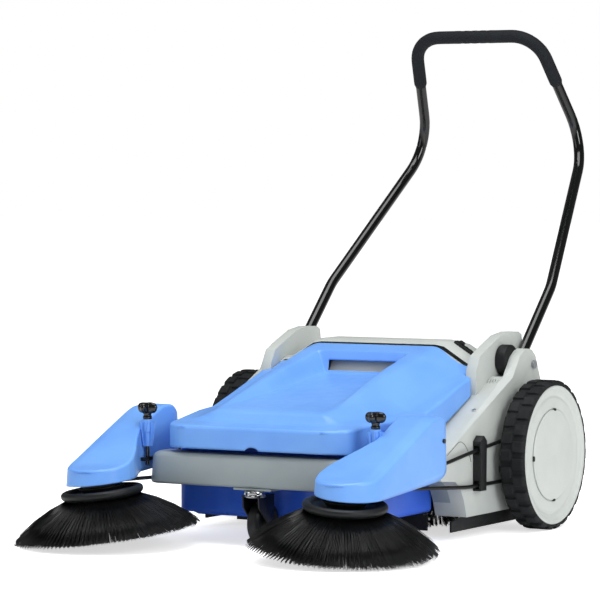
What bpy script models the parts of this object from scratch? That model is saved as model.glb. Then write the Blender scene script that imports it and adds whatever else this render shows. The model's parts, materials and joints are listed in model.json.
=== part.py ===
"""Walk behind sweeper: hand pushed, with a main roller brush, two belt driven side brushes,
a lift-out hopper, two large rear wheels, a front caster and a folding push handle.

Metres. +Z up, front towards -Y, +X is the right side seen from the front.
The shapes are written about the wheel axle (y = 0, ground z = 0) and hang from the empty
"machine", which moves them so that the origin is the middle of the whole footprint."""

import bmesh
import bpy
import math
from mathutils import Matrix, Vector

# ---------------------------------------------------------------- driving dimensions
GAP = 0.0003                    # clearance between two pieces that touch
RUN = 0.0003                    # radial clearance of what turns on a shaft

WHEEL_RADIUS = 0.137
WHEEL_STEPS = 32                # flats round the tyre, the rim and the ring gear alike
TYRE_WIDTH = 0.050
TYRE_WALL = 0.0095
AXLE_RADIUS = 0.008
HUB_RADIUS = 0.018
PULLEY_WIDTH = 0.012
WHEEL_PULLEY_RADIUS = 0.042     # centre line of the belt on the wheel pulley
HUB_CAP_RADIUS = 0.083

BODY_HALF = 0.2052              # machine centre to the inner face of a side frame
PLATE = 0.0205                  # thickness of each ear plate of a side frame
TUBE_RADIUS = 0.010
TUBE_CLEAR = 0.0008             # each side of the handle tube between its ears

RING_TEETH = 42
PINION_TEETH = 7
RING_INSET = 0.029              # wheel radius less the ring gear's pitch radius
GEAR_WIDTH = 0.014
ADDENDUM = 0.0024
DEDENDUM = 0.0034

ROLLER_RADIUS = 0.1145
ROLLER_CORE_RADIUS = 0.030
ROLLER_SHAFT_RADIUS = 0.006
HOUSING_CLEAR = 0.012
HOUSING_WALL = 0.004

BEAM_FRONT = -0.530
BEAM_DEPTH = 0.068
BEAM_LOW = 0.104
BEAM_HIGH = 0.160
BEAM_HALF = BODY_HALF + 0.0133
BEAM_CORNER = 0.028

BRUSH_X = BODY_HALF + 0.0308     # centre of the ring that the side brush tips stand on
BRUSH_Y = -0.626
BRUSH_TIP_RADIUS = 0.167
BRUSH_RIM_RADIUS = 0.073
BRUSH_RIM_LOW = 0.066           # heights along the brush axis above the tips
BRUSH_RIM_HIGH = 0.083
BRUSH_PULLEY_RADIUS = 0.038     # centre line of the belt on the brush pulley
BRUSH_BELT_HEIGHT = 0.0945
BRUSH_TILT_OUT = math.radians(5.5)
BRUSH_TILT_FORWARD = math.radians(4.3)
SPINDLE_RADIUS = 0.006

BELT_RADIUS = 0.0035
BELT_SLACK = 0.0013             # depth of a groove below the belt, for its flat links
GUIDE_Y = -0.197
GUIDE_HIGH = 0.158

ARM_WALL = 0.003
ARM_FRONT_RADIUS = 0.060
ARM_OUTER = BODY_HALF + 0.1063
ARM_INNER = BODY_HALF + 0.0318
ARM_REAR = -0.368
ARM_PIVOT_Y = -0.400
ARM_PIVOT_Z = 0.190
PIN_RADIUS = 0.004
COLUMN_X = BODY_HALF + 0.0258
COLUMN_Y = -0.502
COLUMN_RADIUS = 0.0115
COLUMN_LOW = 0.1665
COLUMN_HIGH = 0.2145
ROD_RADIUS = 0.0036
KNOB_RADIUS = 0.020

HOPPER_WALL = 0.004
HOPPER_HALF = BODY_HALF + 0.0148
HOPPER_LOW = 0.046
HOPPER_REAR = -0.080

COVER_TOP = 0.343
COVER_DROP = 0.035              # fall of the rear cover's sloping shoulders
SHOULDER_IN = 0.138
SHOULDER_OUT = 0.190
WALL_LOW = 0.250                # foot of the cover's front wall, above the brush housing

PIVOT_Y = 0.040
PIVOT_Z = 0.299
BOLT_RADIUS = 0.004
BUFFER_RADIUS = 0.0285
HANDLE_BEND_Y = 0.464
HANDLE_BEND_Z = 0.705
HANDLE_TOP_Y = 0.331
HANDLE_TOP_Z = 0.917
HANDLE_BEND_HALF = 0.1725
HANDLE_TOP_HALF = 0.132
GRIP_RADIUS = 0.013
TUBE_SIDES = 10                 # flats round the handle tube and round its grip

CASTER_Y = -0.518
CASTER_TRAIL = 0.028
CASTER_RADIUS = 0.040
CASTER_WIDTH = 0.026

# ---------------------------------------------------------------- sizes that follow
FRAME_HALF = BODY_HALF + 2 * PLATE + 2 * (TUBE_RADIUS + TUBE_CLEAR)
TUBE_X = BODY_HALF + PLATE + TUBE_RADIUS + TUBE_CLEAR
EAR_INNER = BODY_HALF + PLATE
EAR_OUTER = FRAME_HALF - PLATE
PULLEY_IN = FRAME_HALF + 0.0015
PULLEY_OUT = PULLEY_IN + PULLEY_WIDTH
BELT_X = (PULLEY_IN + PULLEY_OUT) / 2
TYRE_IN = PULLEY_OUT + 0.0027
TYRE_OUT = TYRE_IN + TYRE_WIDTH
RIM_RADIUS = WHEEL_RADIUS - TYRE_WALL - GAP
AXLE_Z = WHEEL_RADIUS
RING_PITCH = WHEEL_RADIUS - RING_INSET
PINION_PITCH = RING_PITCH * PINION_TEETH / RING_TEETH
GEAR_IN = TYRE_IN + 0.004
GEAR_OUT = GEAR_IN + GEAR_WIDTH
ROLLER_Z = ROLLER_RADIUS + 0.0005
ROLLER_Y = -math.sqrt((RING_PITCH - PINION_PITCH) ** 2 - (AXLE_Z - ROLLER_Z) ** 2)
HOUSING_IN = ROLLER_RADIUS + HOUSING_CLEAR
HOUSING_OUT = HOUSING_IN + HOUSING_WALL
BEAM_REAR = BEAM_FRONT + BEAM_DEPTH
GUIDE_LOW = AXLE_Z - WHEEL_PULLEY_RADIUS
MOUTH_Y = ROLLER_Y - HOUSING_OUT - 0.020
SHELL_HALF = BODY_HALF - GAP
ARM_MIDDLE = (ARM_INNER + ARM_OUTER) / 2 - 0.0122
EAR_X = BODY_HALF + 0.0558       # middle of the bracket ear that holds the pin
LEVER_X = BODY_HALF + 0.0653     # middle of the arm lever
BUFFER_Y = PIVOT_Y - 0.037 - TUBE_RADIUS
FRAME_REAR = PIVOT_Y + 0.045
TILT = math.hypot(BRUSH_TILT_OUT, BRUSH_TILT_FORWARD)
BRUSH_TIP_Z = BRUSH_TIP_RADIUS * math.sin(TILT)
PAD_LOW = BRUSH_BELT_HEIGHT + 0.0088
PAD_THICK = 0.004

SIDES = (("left", -1), ("right", 1))

# ---------------------------------------------------------------- colours
BLUE = (0.18, 0.42, 0.90, 1)
LIGHT_GREY = (0.68, 0.70, 0.68, 1)
MID_GREY = (0.35, 0.41, 0.41, 1)
DARK_GREY = (0.03, 0.04, 0.045, 1)
BLACK = (0.012, 0.012, 0.015, 1)
WHITE = (0.80, 0.82, 0.80, 1)
STEEL = (0.60, 0.61, 0.63, 1)


# ---------------------------------------------------------------- helpers
def clear_scene():
    """Take away whatever the file holds."""
    for old in list(bpy.data.objects):
        bpy.data.objects.remove(old, do_unlink=True)


def paint(obj, colour, roughness, metallic=0.0):
    """Give the object its own Principled material."""
    material = bpy.data.materials.new(obj.name)
    material.use_nodes = True
    shader = material.node_tree.nodes["Principled BSDF"]
    shader.inputs["Base Color"].default_value = colour
    shader.inputs["Roughness"].default_value = roughness
    shader.inputs["Metallic"].default_value = metallic
    material.diffuse_color = colour
    obj.data.materials.append(material)


def empty(name, location, parent=None, rotation=None):
    """An axis or a frame that pieces hang from."""
    frame = bpy.data.objects.new(name, None)
    frame.empty_display_size = 0.03
    bpy.context.collection.objects.link(frame)
    frame.matrix_world = Matrix.Translation(location)
    if rotation is not None:
        frame.matrix_world = Matrix.Translation(location) @ rotation.to_4x4()
    if parent is not None:
        place = frame.matrix_world.copy()
        frame.parent = parent
        bpy.context.view_layer.update()
        frame.matrix_world = place
    bpy.context.view_layer.update()
    return frame


def finish_mesh(bm, name, smooth=True):
    """Close, orient and store a mesh."""
    bmesh.ops.remove_doubles(bm, verts=bm.verts, dist=1e-6)
    bmesh.ops.recalc_face_normals(bm, faces=bm.faces)
    mesh = bpy.data.meshes.new(name)
    bm.to_mesh(mesh)
    bm.free()
    if smooth:
        mesh.shade_smooth()
        mesh.set_sharp_from_angle(angle=math.radians(35))
    obj = bpy.data.objects.new(name, mesh)
    bpy.context.collection.objects.link(obj)
    return obj


def hang(obj, parent):
    """Parent a piece whose mesh is written in the machine's frame, keeping its place."""
    obj.data.transform(parent.matrix_world.inverted())
    obj.parent = parent
    return obj


def loft(name, rings, closed=False, smooth=False):
    """Skin equal rings of points; the ends are capped unless the rings close on themselves."""
    bm = bmesh.new()
    loops = [[bm.verts.new(point) for point in ring] for ring in rings]
    pairs = list(zip(loops, loops[1:]))
    if closed:
        pairs.append((loops[-1], loops[0]))
    for first, second in pairs:
        for index in range(len(first)):
            after = (index + 1) % len(first)
            bm.faces.new((first[index], first[after], second[after], second[index]))
    if not closed:
        bm.faces.new(loops[0])
        bm.faces.new(loops[-1])
    return finish_mesh(bm, name, smooth)


def lathe(name, profile, steps=36):
    """Turn a closed profile of (radius, height) about local Z; it stays clear of the axis."""
    bm = bmesh.new()
    corners = [bm.verts.new((radius, 0, height)) for radius, height in profile]
    edges = [bm.edges.new((corners[i - 1], corners[i])) for i in range(len(corners))]
    bmesh.ops.spin(bm, geom=corners + edges, cent=(0, 0, 0), axis=(0, 0, 1),
                   angle=2 * math.pi, steps=steps, use_merge=True)
    return finish_mesh(bm, name)


def prism(name, outline, low, high, axis="X", holes=(), smooth=False):
    """Extrude a flat outline, with any holes, along one axis between two coordinates.

    The outline is in (y, z) for X, in (x, z) for Y and in (x, y) for Z."""
    order = {"X": (2, 0, 1), "Y": (0, 2, 1), "Z": (0, 1, 2)}[axis]
    bm = bmesh.new()
    edges = []
    for loop in (outline, *holes):
        corners = []
        for first, second in loop:
            values = (first, second, low)
            corners.append(bm.verts.new([values[slot] for slot in order]))
        edges += [bm.edges.new((corners[i - 1], corners[i])) for i in range(len(corners))]
    if holes:
        bmesh.ops.triangle_fill(bm, edges=edges, use_beauty=True)
    else:
        bm.faces.new(bm.verts)
    result = bmesh.ops.extrude_face_region(bm, geom=list(bm.faces), use_keep_orig=True)
    raised = [item for item in result["geom"] if isinstance(item, bmesh.types.BMVert)]
    shift = Vector([(0, 0, high - low)[slot] for slot in order])
    bmesh.ops.translate(bm, verts=raised, vec=shift)
    return finish_mesh(bm, name, smooth)


def block(name, low, high):
    """A box between two corners."""
    outline = [(low[0], low[1]), (high[0], low[1]), (high[0], high[1]), (low[0], high[1])]
    return prism(name, outline, low[2], high[2], axis="Z")


def circle(centre, radius, count, start=0.0, sweep=2 * math.pi):
    """Points round a circle, or along an arc when sweep is less than a full turn."""
    whole = abs(abs(sweep) - 2 * math.pi) < 1e-9
    last = count if whole else count - 1
    turns = [start + sweep * i / last for i in range(count)]
    return [(centre[0] + radius * math.cos(a), centre[1] + radius * math.sin(a)) for a in turns]


def rod(name, centre, radius, low, high, axis="X", sides=16):
    """A round bar between two coordinates along one axis."""
    return prism(name, circle(centre, radius, sides), low, high, axis=axis, smooth=True)


def combine(target, tool, operation="DIFFERENCE"):
    """Apply one exact Boolean and delete the tool."""
    modifier = target.modifiers.new(operation.lower(), "BOOLEAN")
    modifier.operation = operation
    modifier.solver = "EXACT"
    modifier.object = tool
    bpy.context.view_layer.update()
    graph = bpy.context.evaluated_depsgraph_get()
    result = bpy.data.meshes.new_from_object(target.evaluated_get(graph))
    target.modifiers.clear()
    target.data = result
    target.data.name = target.name
    bpy.data.objects.remove(tool, do_unlink=True)
    return target


def cut(target, *tools):
    """Take each tool out of the target."""
    for tool in tools:
        combine(target, tool)
    return target


def join(target, *tools):
    """Add each tool to the target."""
    for tool in tools:
        combine(target, tool, "UNION")
    return target


def rounded_path(corners, radii, steps):
    """A line through the corners with each inner corner turned on an arc of its radius."""
    points = [Vector(corners[0])]
    for index in range(1, len(corners) - 1):
        corner = Vector(corners[index])
        back = (Vector(corners[index - 1]) - corner).normalized()
        ahead = (Vector(corners[index + 1]) - corner).normalized()
        half = back.angle(ahead) / 2
        radius = radii[index - 1]
        reach = radius / math.tan(half)
        centre = corner + (back + ahead).normalized() * radius / math.sin(half)
        start = corner + back * reach - centre
        end = corner + ahead * reach - centre
        turn = start.angle(end)
        for step in range(steps + 1):
            share = step / steps
            left = math.sin((1 - share) * turn) / math.sin(turn)
            right = math.sin(share * turn) / math.sin(turn)
            points.append(centre + start * left + end * right)
    points.append(Vector(corners[-1]))
    return points


def tube(name, path, radius, sides, inner=0.0, closed=False):
    """Sweep a round section along a path, carrying its frame from point to point.

    A tube with an inner radius is skinned outside and back along its bore."""
    count = len(path)
    tangents = []
    for index in range(count):
        before = path[index - 1] if closed or index else path[0]
        after = path[(index + 1) % count] if closed or index < count - 1 else path[-1]
        tangents.append((after - before).normalized())
    side = tangents[0].orthogonal().normalized()
    rings = []
    for point, tangent in zip(path, tangents):
        side = (side - tangent * side.dot(tangent)).normalized()
        up = tangent.cross(side)
        rings.append((point, side, up))

    def ring(frame, size):
        point, across, up = frame
        spots = []
        for step in range(sides):
            angle = 2 * math.pi * step / sides
            spots.append(point + across * size * math.cos(angle) + up * size * math.sin(angle))
        return spots

    outside = [ring(frame, radius) for frame in rings]
    if inner <= 0:
        return loft(name, outside, closed, smooth=True)
    inside = [ring(frame, inner) for frame in reversed(rings)]
    return loft(name, outside + inside, closed=True, smooth=True)


# ---------------------------------------------------------------- handle
def handle_path():
    """Centre line of the push handle, from the left end over the top to the right end."""
    start = (TUBE_X, PIVOT_Y - 0.024, PIVOT_Z - 0.0233)
    ease = (TUBE_X, PIVOT_Y + 0.141, PIVOT_Z + 0.1375)
    bend = (HANDLE_BEND_HALF, HANDLE_BEND_Y, HANDLE_BEND_Z)
    top = (HANDLE_TOP_HALF, HANDLE_TOP_Y, HANDLE_TOP_Z)
    half = [start, ease, bend, top]
    mirrored = [(-x, y, z) for x, y, z in half]
    return rounded_path(mirrored + half[::-1], [0.15, 0.09, 0.062, 0.062, 0.09, 0.15], 5)


def make_handle(pivot):
    """The bent tube and its foam grip."""
    path = handle_path()
    bar = tube("handle_tube", path, TUBE_RADIUS, TUBE_SIDES)
    for name, side in SIDES:
        x = side * TUBE_X
        bore = rod(name + "_bore", (PIVOT_Y, PIVOT_Z), BOLT_RADIUS + RUN, x - 0.02, x + 0.02)
        cut(bar, bore)
    hang(bar, pivot)
    paint(bar, BLACK, 0.15)
    low = HANDLE_TOP_Z - 0.102
    covered = [point for point in path if point.z > low]
    bend = Vector((HANDLE_BEND_HALF, HANDLE_BEND_Y, HANDLE_BEND_Z))
    top = Vector((HANDLE_TOP_HALF, HANDLE_TOP_Y, HANDLE_TOP_Z))
    share = (low - bend.z) / (top.z - bend.z)
    end = bend.lerp(top, share)
    covered = [Vector((-end.x, end.y, end.z))] + covered + [end]
    inner = (TUBE_RADIUS + GAP) / math.cos(math.pi / TUBE_SIDES)
    grip = tube("foam_grip", covered, GRIP_RADIUS, TUBE_SIDES, inner=inner)
    hang(grip, pivot)
    paint(grip, DARK_GREY, 0.9)


# ---------------------------------------------------------------- chassis
def frame_top(y):
    """Height of the sloping top band of a side frame."""
    return PIVOT_Z - 0.082 + (y - PIVOT_Y + 0.221) * 0.455


def side_frame(name, side):
    """Moulded side frame: a deep box with two ears that hold the handle tube between them."""
    front = BEAM_REAR + 0.007
    nose = -0.330
    low = 0.040
    step = ROLLER_Y - 0.142
    slot_floor = PIVOT_Z - 0.084
    base = [(nose, 0.112), (step - 0.045, 0.107), (step - 0.026, 0.095), (step - 0.012, 0.072),
            (step, low), (FRAME_REAR, low)]
    inner_plate = [(front, 0.112), *base[1:], (FRAME_REAR, 0.318), (0.078, 0.352), (0.066, 0.3575),
                   (0.031, 0.3585), (-0.010, 0.353), (-0.052, 0.337), (-0.094, 0.319),
                   (-0.110, 0.292), (-0.1105, frame_top(-0.1105)), (nose, frame_top(nose)), (nose - 0.02, 0.130),
                   (front, 0.130)]
    outer_plate = [*base, (FRAME_REAR, 0.240), (0.071, 0.272), (0.050, 0.315), (0.036, 0.326),
                   (0.018, 0.329), (0.002, 0.326), (-0.016, 0.315), (-0.045, frame_top(-0.045)),
                   (nose, frame_top(nose))]
    seat = PIVOT_Z + 0.0095 - BUFFER_RADIUS - GAP
    middle = [*base, (FRAME_REAR, slot_floor), (-0.004, slot_floor), (-0.004, seat),
              (-0.0475, seat), (-0.058, frame_top(-0.058)), (nose, frame_top(nose))]
    lap = 0.0001

    def layer(title, outline, start, stop):
        low_x, high_x = sorted((side * start, side * stop))
        return prism(title, outline, low_x, high_x)

    frame = layer(name + "_side_frame", inner_plate, BODY_HALF, EAR_INNER)
    join(frame, layer("middle", middle, EAR_INNER - lap, EAR_OUTER + lap))
    join(frame, layer("outer", outer_plate, EAR_OUTER, FRAME_HALF))
    reach = (side * (BODY_HALF + FRAME_HALF) / 2 - 0.05, side * (BODY_HALF + FRAME_HALF) / 2 + 0.05)
    cut(frame, rod("axle_bore", (0, AXLE_Z), AXLE_RADIUS + GAP, *reach, sides=16))
    cut(frame, rod("shaft_bore", (ROLLER_Y, ROLLER_Z), 0.0145, *reach, sides=20))
    cut(frame, rod("bolt_bore", (PIVOT_Y, PIVOT_Z), BOLT_RADIUS + GAP, *reach, sides=12))
    return frame


def front_beam():
    """Grey bumper beam across the front, with rounded vertical corners."""
    r = BEAM_CORNER
    x = BEAM_HALF - r
    y = BEAM_FRONT + r
    outline = [(BEAM_HALF, BEAM_REAR), (-BEAM_HALF, BEAM_REAR)]
    outline += circle((-x, y), r, 7, math.pi, math.pi / 2)
    outline += circle((x, y), r, 7, 1.5 * math.pi, math.pi / 2)
    edge = 0.008
    rings = []
    for height, inset in ((BEAM_LOW, 0.0), (BEAM_HIGH - edge, 0.003), (BEAM_HIGH - 0.002, 0.006),
                          (BEAM_HIGH, 0.011)):
        scale_x = (BEAM_HALF - inset) / BEAM_HALF
        rings.append([(px * scale_x, py + inset * (py < BEAM_REAR - 0.001), height)
                      for px, py in outline])
    return loft("front_beam", rings)


def rear_cover():
    """Grey cover behind the hopper, a thin shell over the roller housing."""
    def rings(wall, sides, foot):
        stations = [(HOPPER_REAR + 0.0035 - 2 * foot, 0.3330), (-0.050, COVER_TOP), (0.0, COVER_TOP),
                    (0.040, 0.3360), (0.072, 0.3160), (0.095, 0.2860), (0.110, 0.2450)]
        result = []
        for y, top in stations:
            top -= wall
            drop = min(COVER_DROP, top - 0.20)
            half = [(0.120, top), (SHOULDER_IN, top - 0.003), (SHOULDER_OUT, top - drop),
                    (sides, top - drop - 0.001), (sides, 0.192 - foot), (0.100, 0.192 - foot)]
            ring = [(x, y - wall * (y > 0.05), z) for x, z in half]
            result.append(ring + [(-x, y, z) for x, y, z in reversed(ring)])
        return result

    wall = 0.004
    cover = loft("rear_cover", rings(0.0, SHELL_HALF, 0.0))
    roof = COVER_TOP - 0.0100 - wall / 2
    slope = roof - COVER_DROP
    front_wall = prism("front_wall", [(-SHELL_HALF + wall / 2, WALL_LOW), (SHELL_HALF - wall / 2, WALL_LOW),
                                      (SHELL_HALF - wall / 2, slope), (SHOULDER_OUT, slope),
                                      (SHOULDER_IN, roof - 0.003), (-SHOULDER_IN, roof - 0.003),
                                      (-SHOULDER_OUT, slope), (-SHELL_HALF + wall / 2, slope)],
                       HOPPER_REAR + 0.0035, HOPPER_REAR + 0.0065, axis="Y")
    apron = prism("apron", [(0.0985, 0.192), (0.110, 0.192), (0.1165, 0.150), (0.1165, 0.060),
                            (0.1125, 0.060), (0.1125, 0.150), (0.1085, 0.188)],
                  -SHELL_HALF, SHELL_HALF)
    cut(cover, loft("hollow", rings(wall, SHELL_HALF - wall, 0.02)))
    return join(cover, apron, front_wall)


def brush_housing():
    """Arched sheet over the roller, open in front towards the hopper."""
    centre = (ROLLER_Y, ROLLER_Z)
    start = math.radians(-38)
    sweep = math.radians(164)
    outline = circle(centre, HOUSING_OUT, 17, start, sweep)
    outline += circle(centre, HOUSING_IN, 17, start + sweep, -sweep)
    half = SHELL_HALF - 0.0045
    return prism("brush_housing", outline, -half, half, smooth=True)


def belt_guide(name, side):
    """Black post on the side frame with an eye for each run of the belt."""
    inner = FRAME_HALF + GAP
    outer = BELT_X + 0.009
    low, high = sorted((side * inner, side * outer))
    outline = [(GUIDE_Y - 0.009, GUIDE_LOW - 0.010), (GUIDE_Y + 0.014, GUIDE_LOW - 0.010),
               (GUIDE_Y + 0.016, GUIDE_HIGH + 0.016), (GUIDE_Y + 0.004, GUIDE_HIGH + 0.026),
               (GUIDE_Y - 0.009, GUIDE_HIGH + 0.016)]
    post = prism(name + "_belt_guide", outline, low, high)
    for height in (GUIDE_LOW, GUIDE_HIGH):
        eye_low = (side * BELT_X - 0.0055, GUIDE_Y - 0.03, height - 0.0065)
        eye_high = (side * BELT_X + 0.0055, GUIDE_Y + 0.03, height + 0.0085)
        cut(post, block("eye", eye_low, eye_high))
    return post


def brush_frame(side):
    """Matrix of a side brush: local Z is its axis, local 0 is the plane of its tips."""
    lean = Vector((side * math.tan(BRUSH_TILT_OUT), -math.tan(BRUSH_TILT_FORWARD), 1)).normalized()
    turn = Vector((0, 0, 1)).rotation_difference(lean)
    place = Vector((side * BRUSH_X, BRUSH_Y, BRUSH_TIP_Z))
    return Matrix.Translation(place) @ turn.to_matrix().to_4x4()


def belt_path(side):
    """Loop of one round belt: back round the wheel pulley, forward and flat round the brush."""
    x = side * BELT_X
    path = []
    for y, z in circle((0, AXLE_Z), WHEEL_PULLEY_RADIUS, 9, math.pi / 2, -math.pi):
        path.append(Vector((x, y, z)))
    path.append(Vector((x, GUIDE_Y + 0.03, GUIDE_LOW)))
    path.append(Vector((x, GUIDE_Y - 0.045, GUIDE_LOW)))
    place = brush_frame(side)
    start = math.pi if side > 0 else 0
    for px, py in circle((0, 0), BRUSH_PULLEY_RADIUS, 11, start, side * math.pi):
        path.append(place @ Vector((px, py, BRUSH_BELT_HEIGHT)))
    path.append(Vector((x, GUIDE_Y - 0.045, GUIDE_HIGH - 0.004)))
    path.append(Vector((x, GUIDE_Y + 0.02, GUIDE_HIGH + 0.003)))
    return path


def arm_bracket(name, side):
    """Steel bracket on the rail: a shelf with the knob rod's socket and an ear for the pin."""
    x_in = EAR_INNER + GAP
    shelf_low, shelf_high = sorted((side * x_in, side * (EAR_X + 0.003)))
    bracket = block(name + "_arm_bracket", (shelf_low, -0.445, 0.141), (shelf_high, -0.378, 0.147))
    front_low, front_high = sorted((side * (COLUMN_X - 0.0055 - GAP), side * (COLUMN_X + 0.015)))
    join(bracket, block("front", (front_low, -0.516, 0.141), (front_high, -0.440, 0.147)))
    ear_low, ear_high = sorted((side * (EAR_X - 0.003), side * (EAR_X + 0.003)))
    ear = [(-0.415, 0.146), (-0.385, 0.146), (-0.385, 0.190), (-0.391, 0.2005), (-0.400, 0.2045),
           (-0.409, 0.2005), (-0.415, 0.190)]
    join(bracket, prism("ear", ear, ear_low, ear_high))
    reach = (side * EAR_X - 0.02, side * EAR_X + 0.02)
    cut(bracket, rod("pin_bore", (ARM_PIVOT_Y, ARM_PIVOT_Z), PIN_RADIUS + GAP, *reach, sides=12))
    slot = block("slot", (side * COLUMN_X - 0.0070, COLUMN_Y - 0.0070, 0.13),
                 (side * COLUMN_X + 0.0070, COLUMN_Y + 0.0070, 0.16))
    return cut(bracket, slot)


def make_chassis(machine):
    """Everything that is fixed to the frame."""
    beam = hang(front_beam(), machine)
    paint(beam, MID_GREY, 0.45)
    cover = hang(rear_cover(), machine)
    paint(cover, LIGHT_GREY, 0.45)
    housing = hang(brush_housing(), machine)
    paint(housing, LIGHT_GREY, 0.6)
    strip = [(0.1185, 0.010), (0.1225, 0.010), (0.1205, 0.078), (0.1169, 0.078)]
    skirt = hang(prism("rear_skirt", strip, -SHELL_HALF + 0.004, SHELL_HALF - 0.004), machine)
    paint(skirt, BLACK, 0.8)
    for name, side in SIDES:
        frame = hang(side_frame(name, side), machine)
        paint(frame, LIGHT_GREY, 0.45)
        low, high = sorted((side * (FRAME_HALF - 0.016), side * (FRAME_HALF - 0.012)))
        flap = prism(name + "_side_skirt", [(ROLLER_Y - 0.178, 0.015), (FRAME_REAR - 0.01, 0.015),
                                            (FRAME_REAR - 0.01, 0.0395), (ROLLER_Y - 0.140, 0.0395),
                                            (ROLLER_Y - 0.178, 0.034)], low, high)
        paint(hang(flap, machine), BLACK, 0.8)
        low, high = sorted((side * (BODY_HALF + 0.001), side * (TYRE_OUT - 0.012)))
        axle = rod(name + "_stub_axle", (0, AXLE_Z), AXLE_RADIUS, low, high)
        paint(hang(axle, machine), STEEL, 0.3, 1.0)
        x = side * (BODY_HALF + 0.007)
        spool = [(0.0142, -0.0065), (0.0142, 0.0065), (ROLLER_SHAFT_RADIUS + RUN, 0.0065),
                 (ROLLER_SHAFT_RADIUS + RUN, -0.0065)]
        bearing = lathe(name + "_roller_bearing", spool, 20)
        bearing.data.transform(Matrix.Rotation(math.pi / 2, 4, "Y"))
        bearing.data.transform(Matrix.Translation((x, ROLLER_Y, ROLLER_Z)))
        paint(hang(bearing, machine), STEEL, 0.3, 1.0)
        low, high = sorted((side * (BODY_HALF + 0.002), side * (FRAME_HALF + 0.001)))
        bolt = rod(name + "_handle_bolt", (PIVOT_Y, PIVOT_Z), BOLT_RADIUS, low, high, sides=12)
        low, high = sorted((side * (FRAME_HALF + GAP), side * (FRAME_HALF + 0.005)))
        join(bolt, rod("head", (PIVOT_Y, PIVOT_Z), 0.0078, low, high, sides=12))
        paint(hang(bolt, machine), STEEL, 0.3, 1.0)
        low, high = sorted((side * (EAR_INNER + GAP), side * (EAR_OUTER - GAP)))
        buffer = rod(name + "_handle_buffer", (BUFFER_Y, PIVOT_Z + 0.0095), BUFFER_RADIUS,
                     low, high, sides=24)
        paint(hang(buffer, machine), BLACK, 0.4)
        paint(hang(belt_guide(name, side), machine), BLACK, 0.5)
        belt = tube(name + "_drive_belt", belt_path(side), BELT_RADIUS, 6, closed=True)
        paint(hang(belt, machine), BLACK, 0.7)
        paint(hang(arm_bracket(name, side), machine), BLACK, 0.5, 0.6)
        low, high = sorted((side * (ARM_INNER - 0.004), side * (ARM_OUTER + 0.0005)))
        pin = rod(name + "_arm_pin", (ARM_PIVOT_Y, ARM_PIVOT_Z), PIN_RADIUS, low, high, sides=12)
        paint(hang(pin, machine), STEEL, 0.35, 1.0)
    plate = block("caster_plate", (-0.038, CASTER_Y - 0.010, BEAM_LOW - 0.0043),
                  (0.038, CASTER_Y + 0.046, BEAM_LOW - GAP))
    paint(hang(plate, machine), STEEL, 0.35, 1.0)


# ---------------------------------------------------------------- wheels and drive
def wheel_pieces(name, side, axis):
    """Tyre, rim, hub cap, ring gear and belt pulley of one rear wheel; local Z points out."""
    bead = RIM_RADIUS + GAP
    tread = [(bead, TYRE_IN), (WHEEL_RADIUS - 0.005, TYRE_IN), (WHEEL_RADIUS, TYRE_IN + 0.006),
             (WHEEL_RADIUS, TYRE_OUT - 0.006), (WHEEL_RADIUS - 0.005, TYRE_OUT), (bead, TYRE_OUT)]
    tyre = lathe(name + "_tyre", tread, WHEEL_STEPS)
    tyre.parent = axis
    paint(tyre, BLACK, 0.85)
    wall = 0.004
    face = TYRE_OUT - 0.006
    bore = AXLE_RADIUS + RUN
    seat = RIM_RADIUS - wall
    rim = lathe(name + "_wheel_rim", [
        (bore, TYRE_IN), (HUB_RADIUS, TYRE_IN), (HUB_RADIUS, face - wall), (seat, face - wall),
        (seat, TYRE_IN + 0.001), (RIM_RADIUS, TYRE_IN + 0.001), (RIM_RADIUS, TYRE_OUT - 0.001),
        (RIM_RADIUS - 0.008, TYRE_OUT - 0.001), (RIM_RADIUS - 0.013, face), (bore, face)],
        WHEEL_STEPS)
    rim.parent = axis
    paint(rim, WHITE, 0.4)
    cap = lathe(name + "_hub_cap", [(0.004, face + GAP), (HUB_CAP_RADIUS, face + GAP),
                                    (HUB_CAP_RADIUS, face + 0.002), (HUB_CAP_RADIUS - 0.002,
                                    face + 0.0035), (0.004, face + 0.0035)], 24)
    cap.parent = axis
    paint(cap, WHITE, 0.4)
    groove = WHEEL_PULLEY_RADIUS - BELT_RADIUS - BELT_SLACK
    flange = WHEEL_PULLEY_RADIUS + 0.004
    half = BELT_RADIUS + 0.0007
    pulley = lathe(name + "_belt_pulley", [
        (bore, PULLEY_IN), (flange, PULLEY_IN), (groove, BELT_X - half), (groove, BELT_X + half),
        (flange, PULLEY_OUT), (bore, PULLEY_OUT)], 24)
    pulley.parent = axis
    paint(pulley, BLACK, 0.5)


def tooth_ring(teeth, pitch, inward, outward, phase, share):
    """Outline of a toothed ring: trapezoid teeth that reach from one radius to the other."""
    points = []
    step = 2 * math.pi / teeth
    for tooth in range(teeth):
        middle = phase + tooth * step
        for offset, radius in ((-0.31, inward), (-share, outward), (share, outward), (0.31, inward)):
            angle = middle + offset * step
            points.append((radius * math.cos(angle), radius * math.sin(angle)))
    return points


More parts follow.
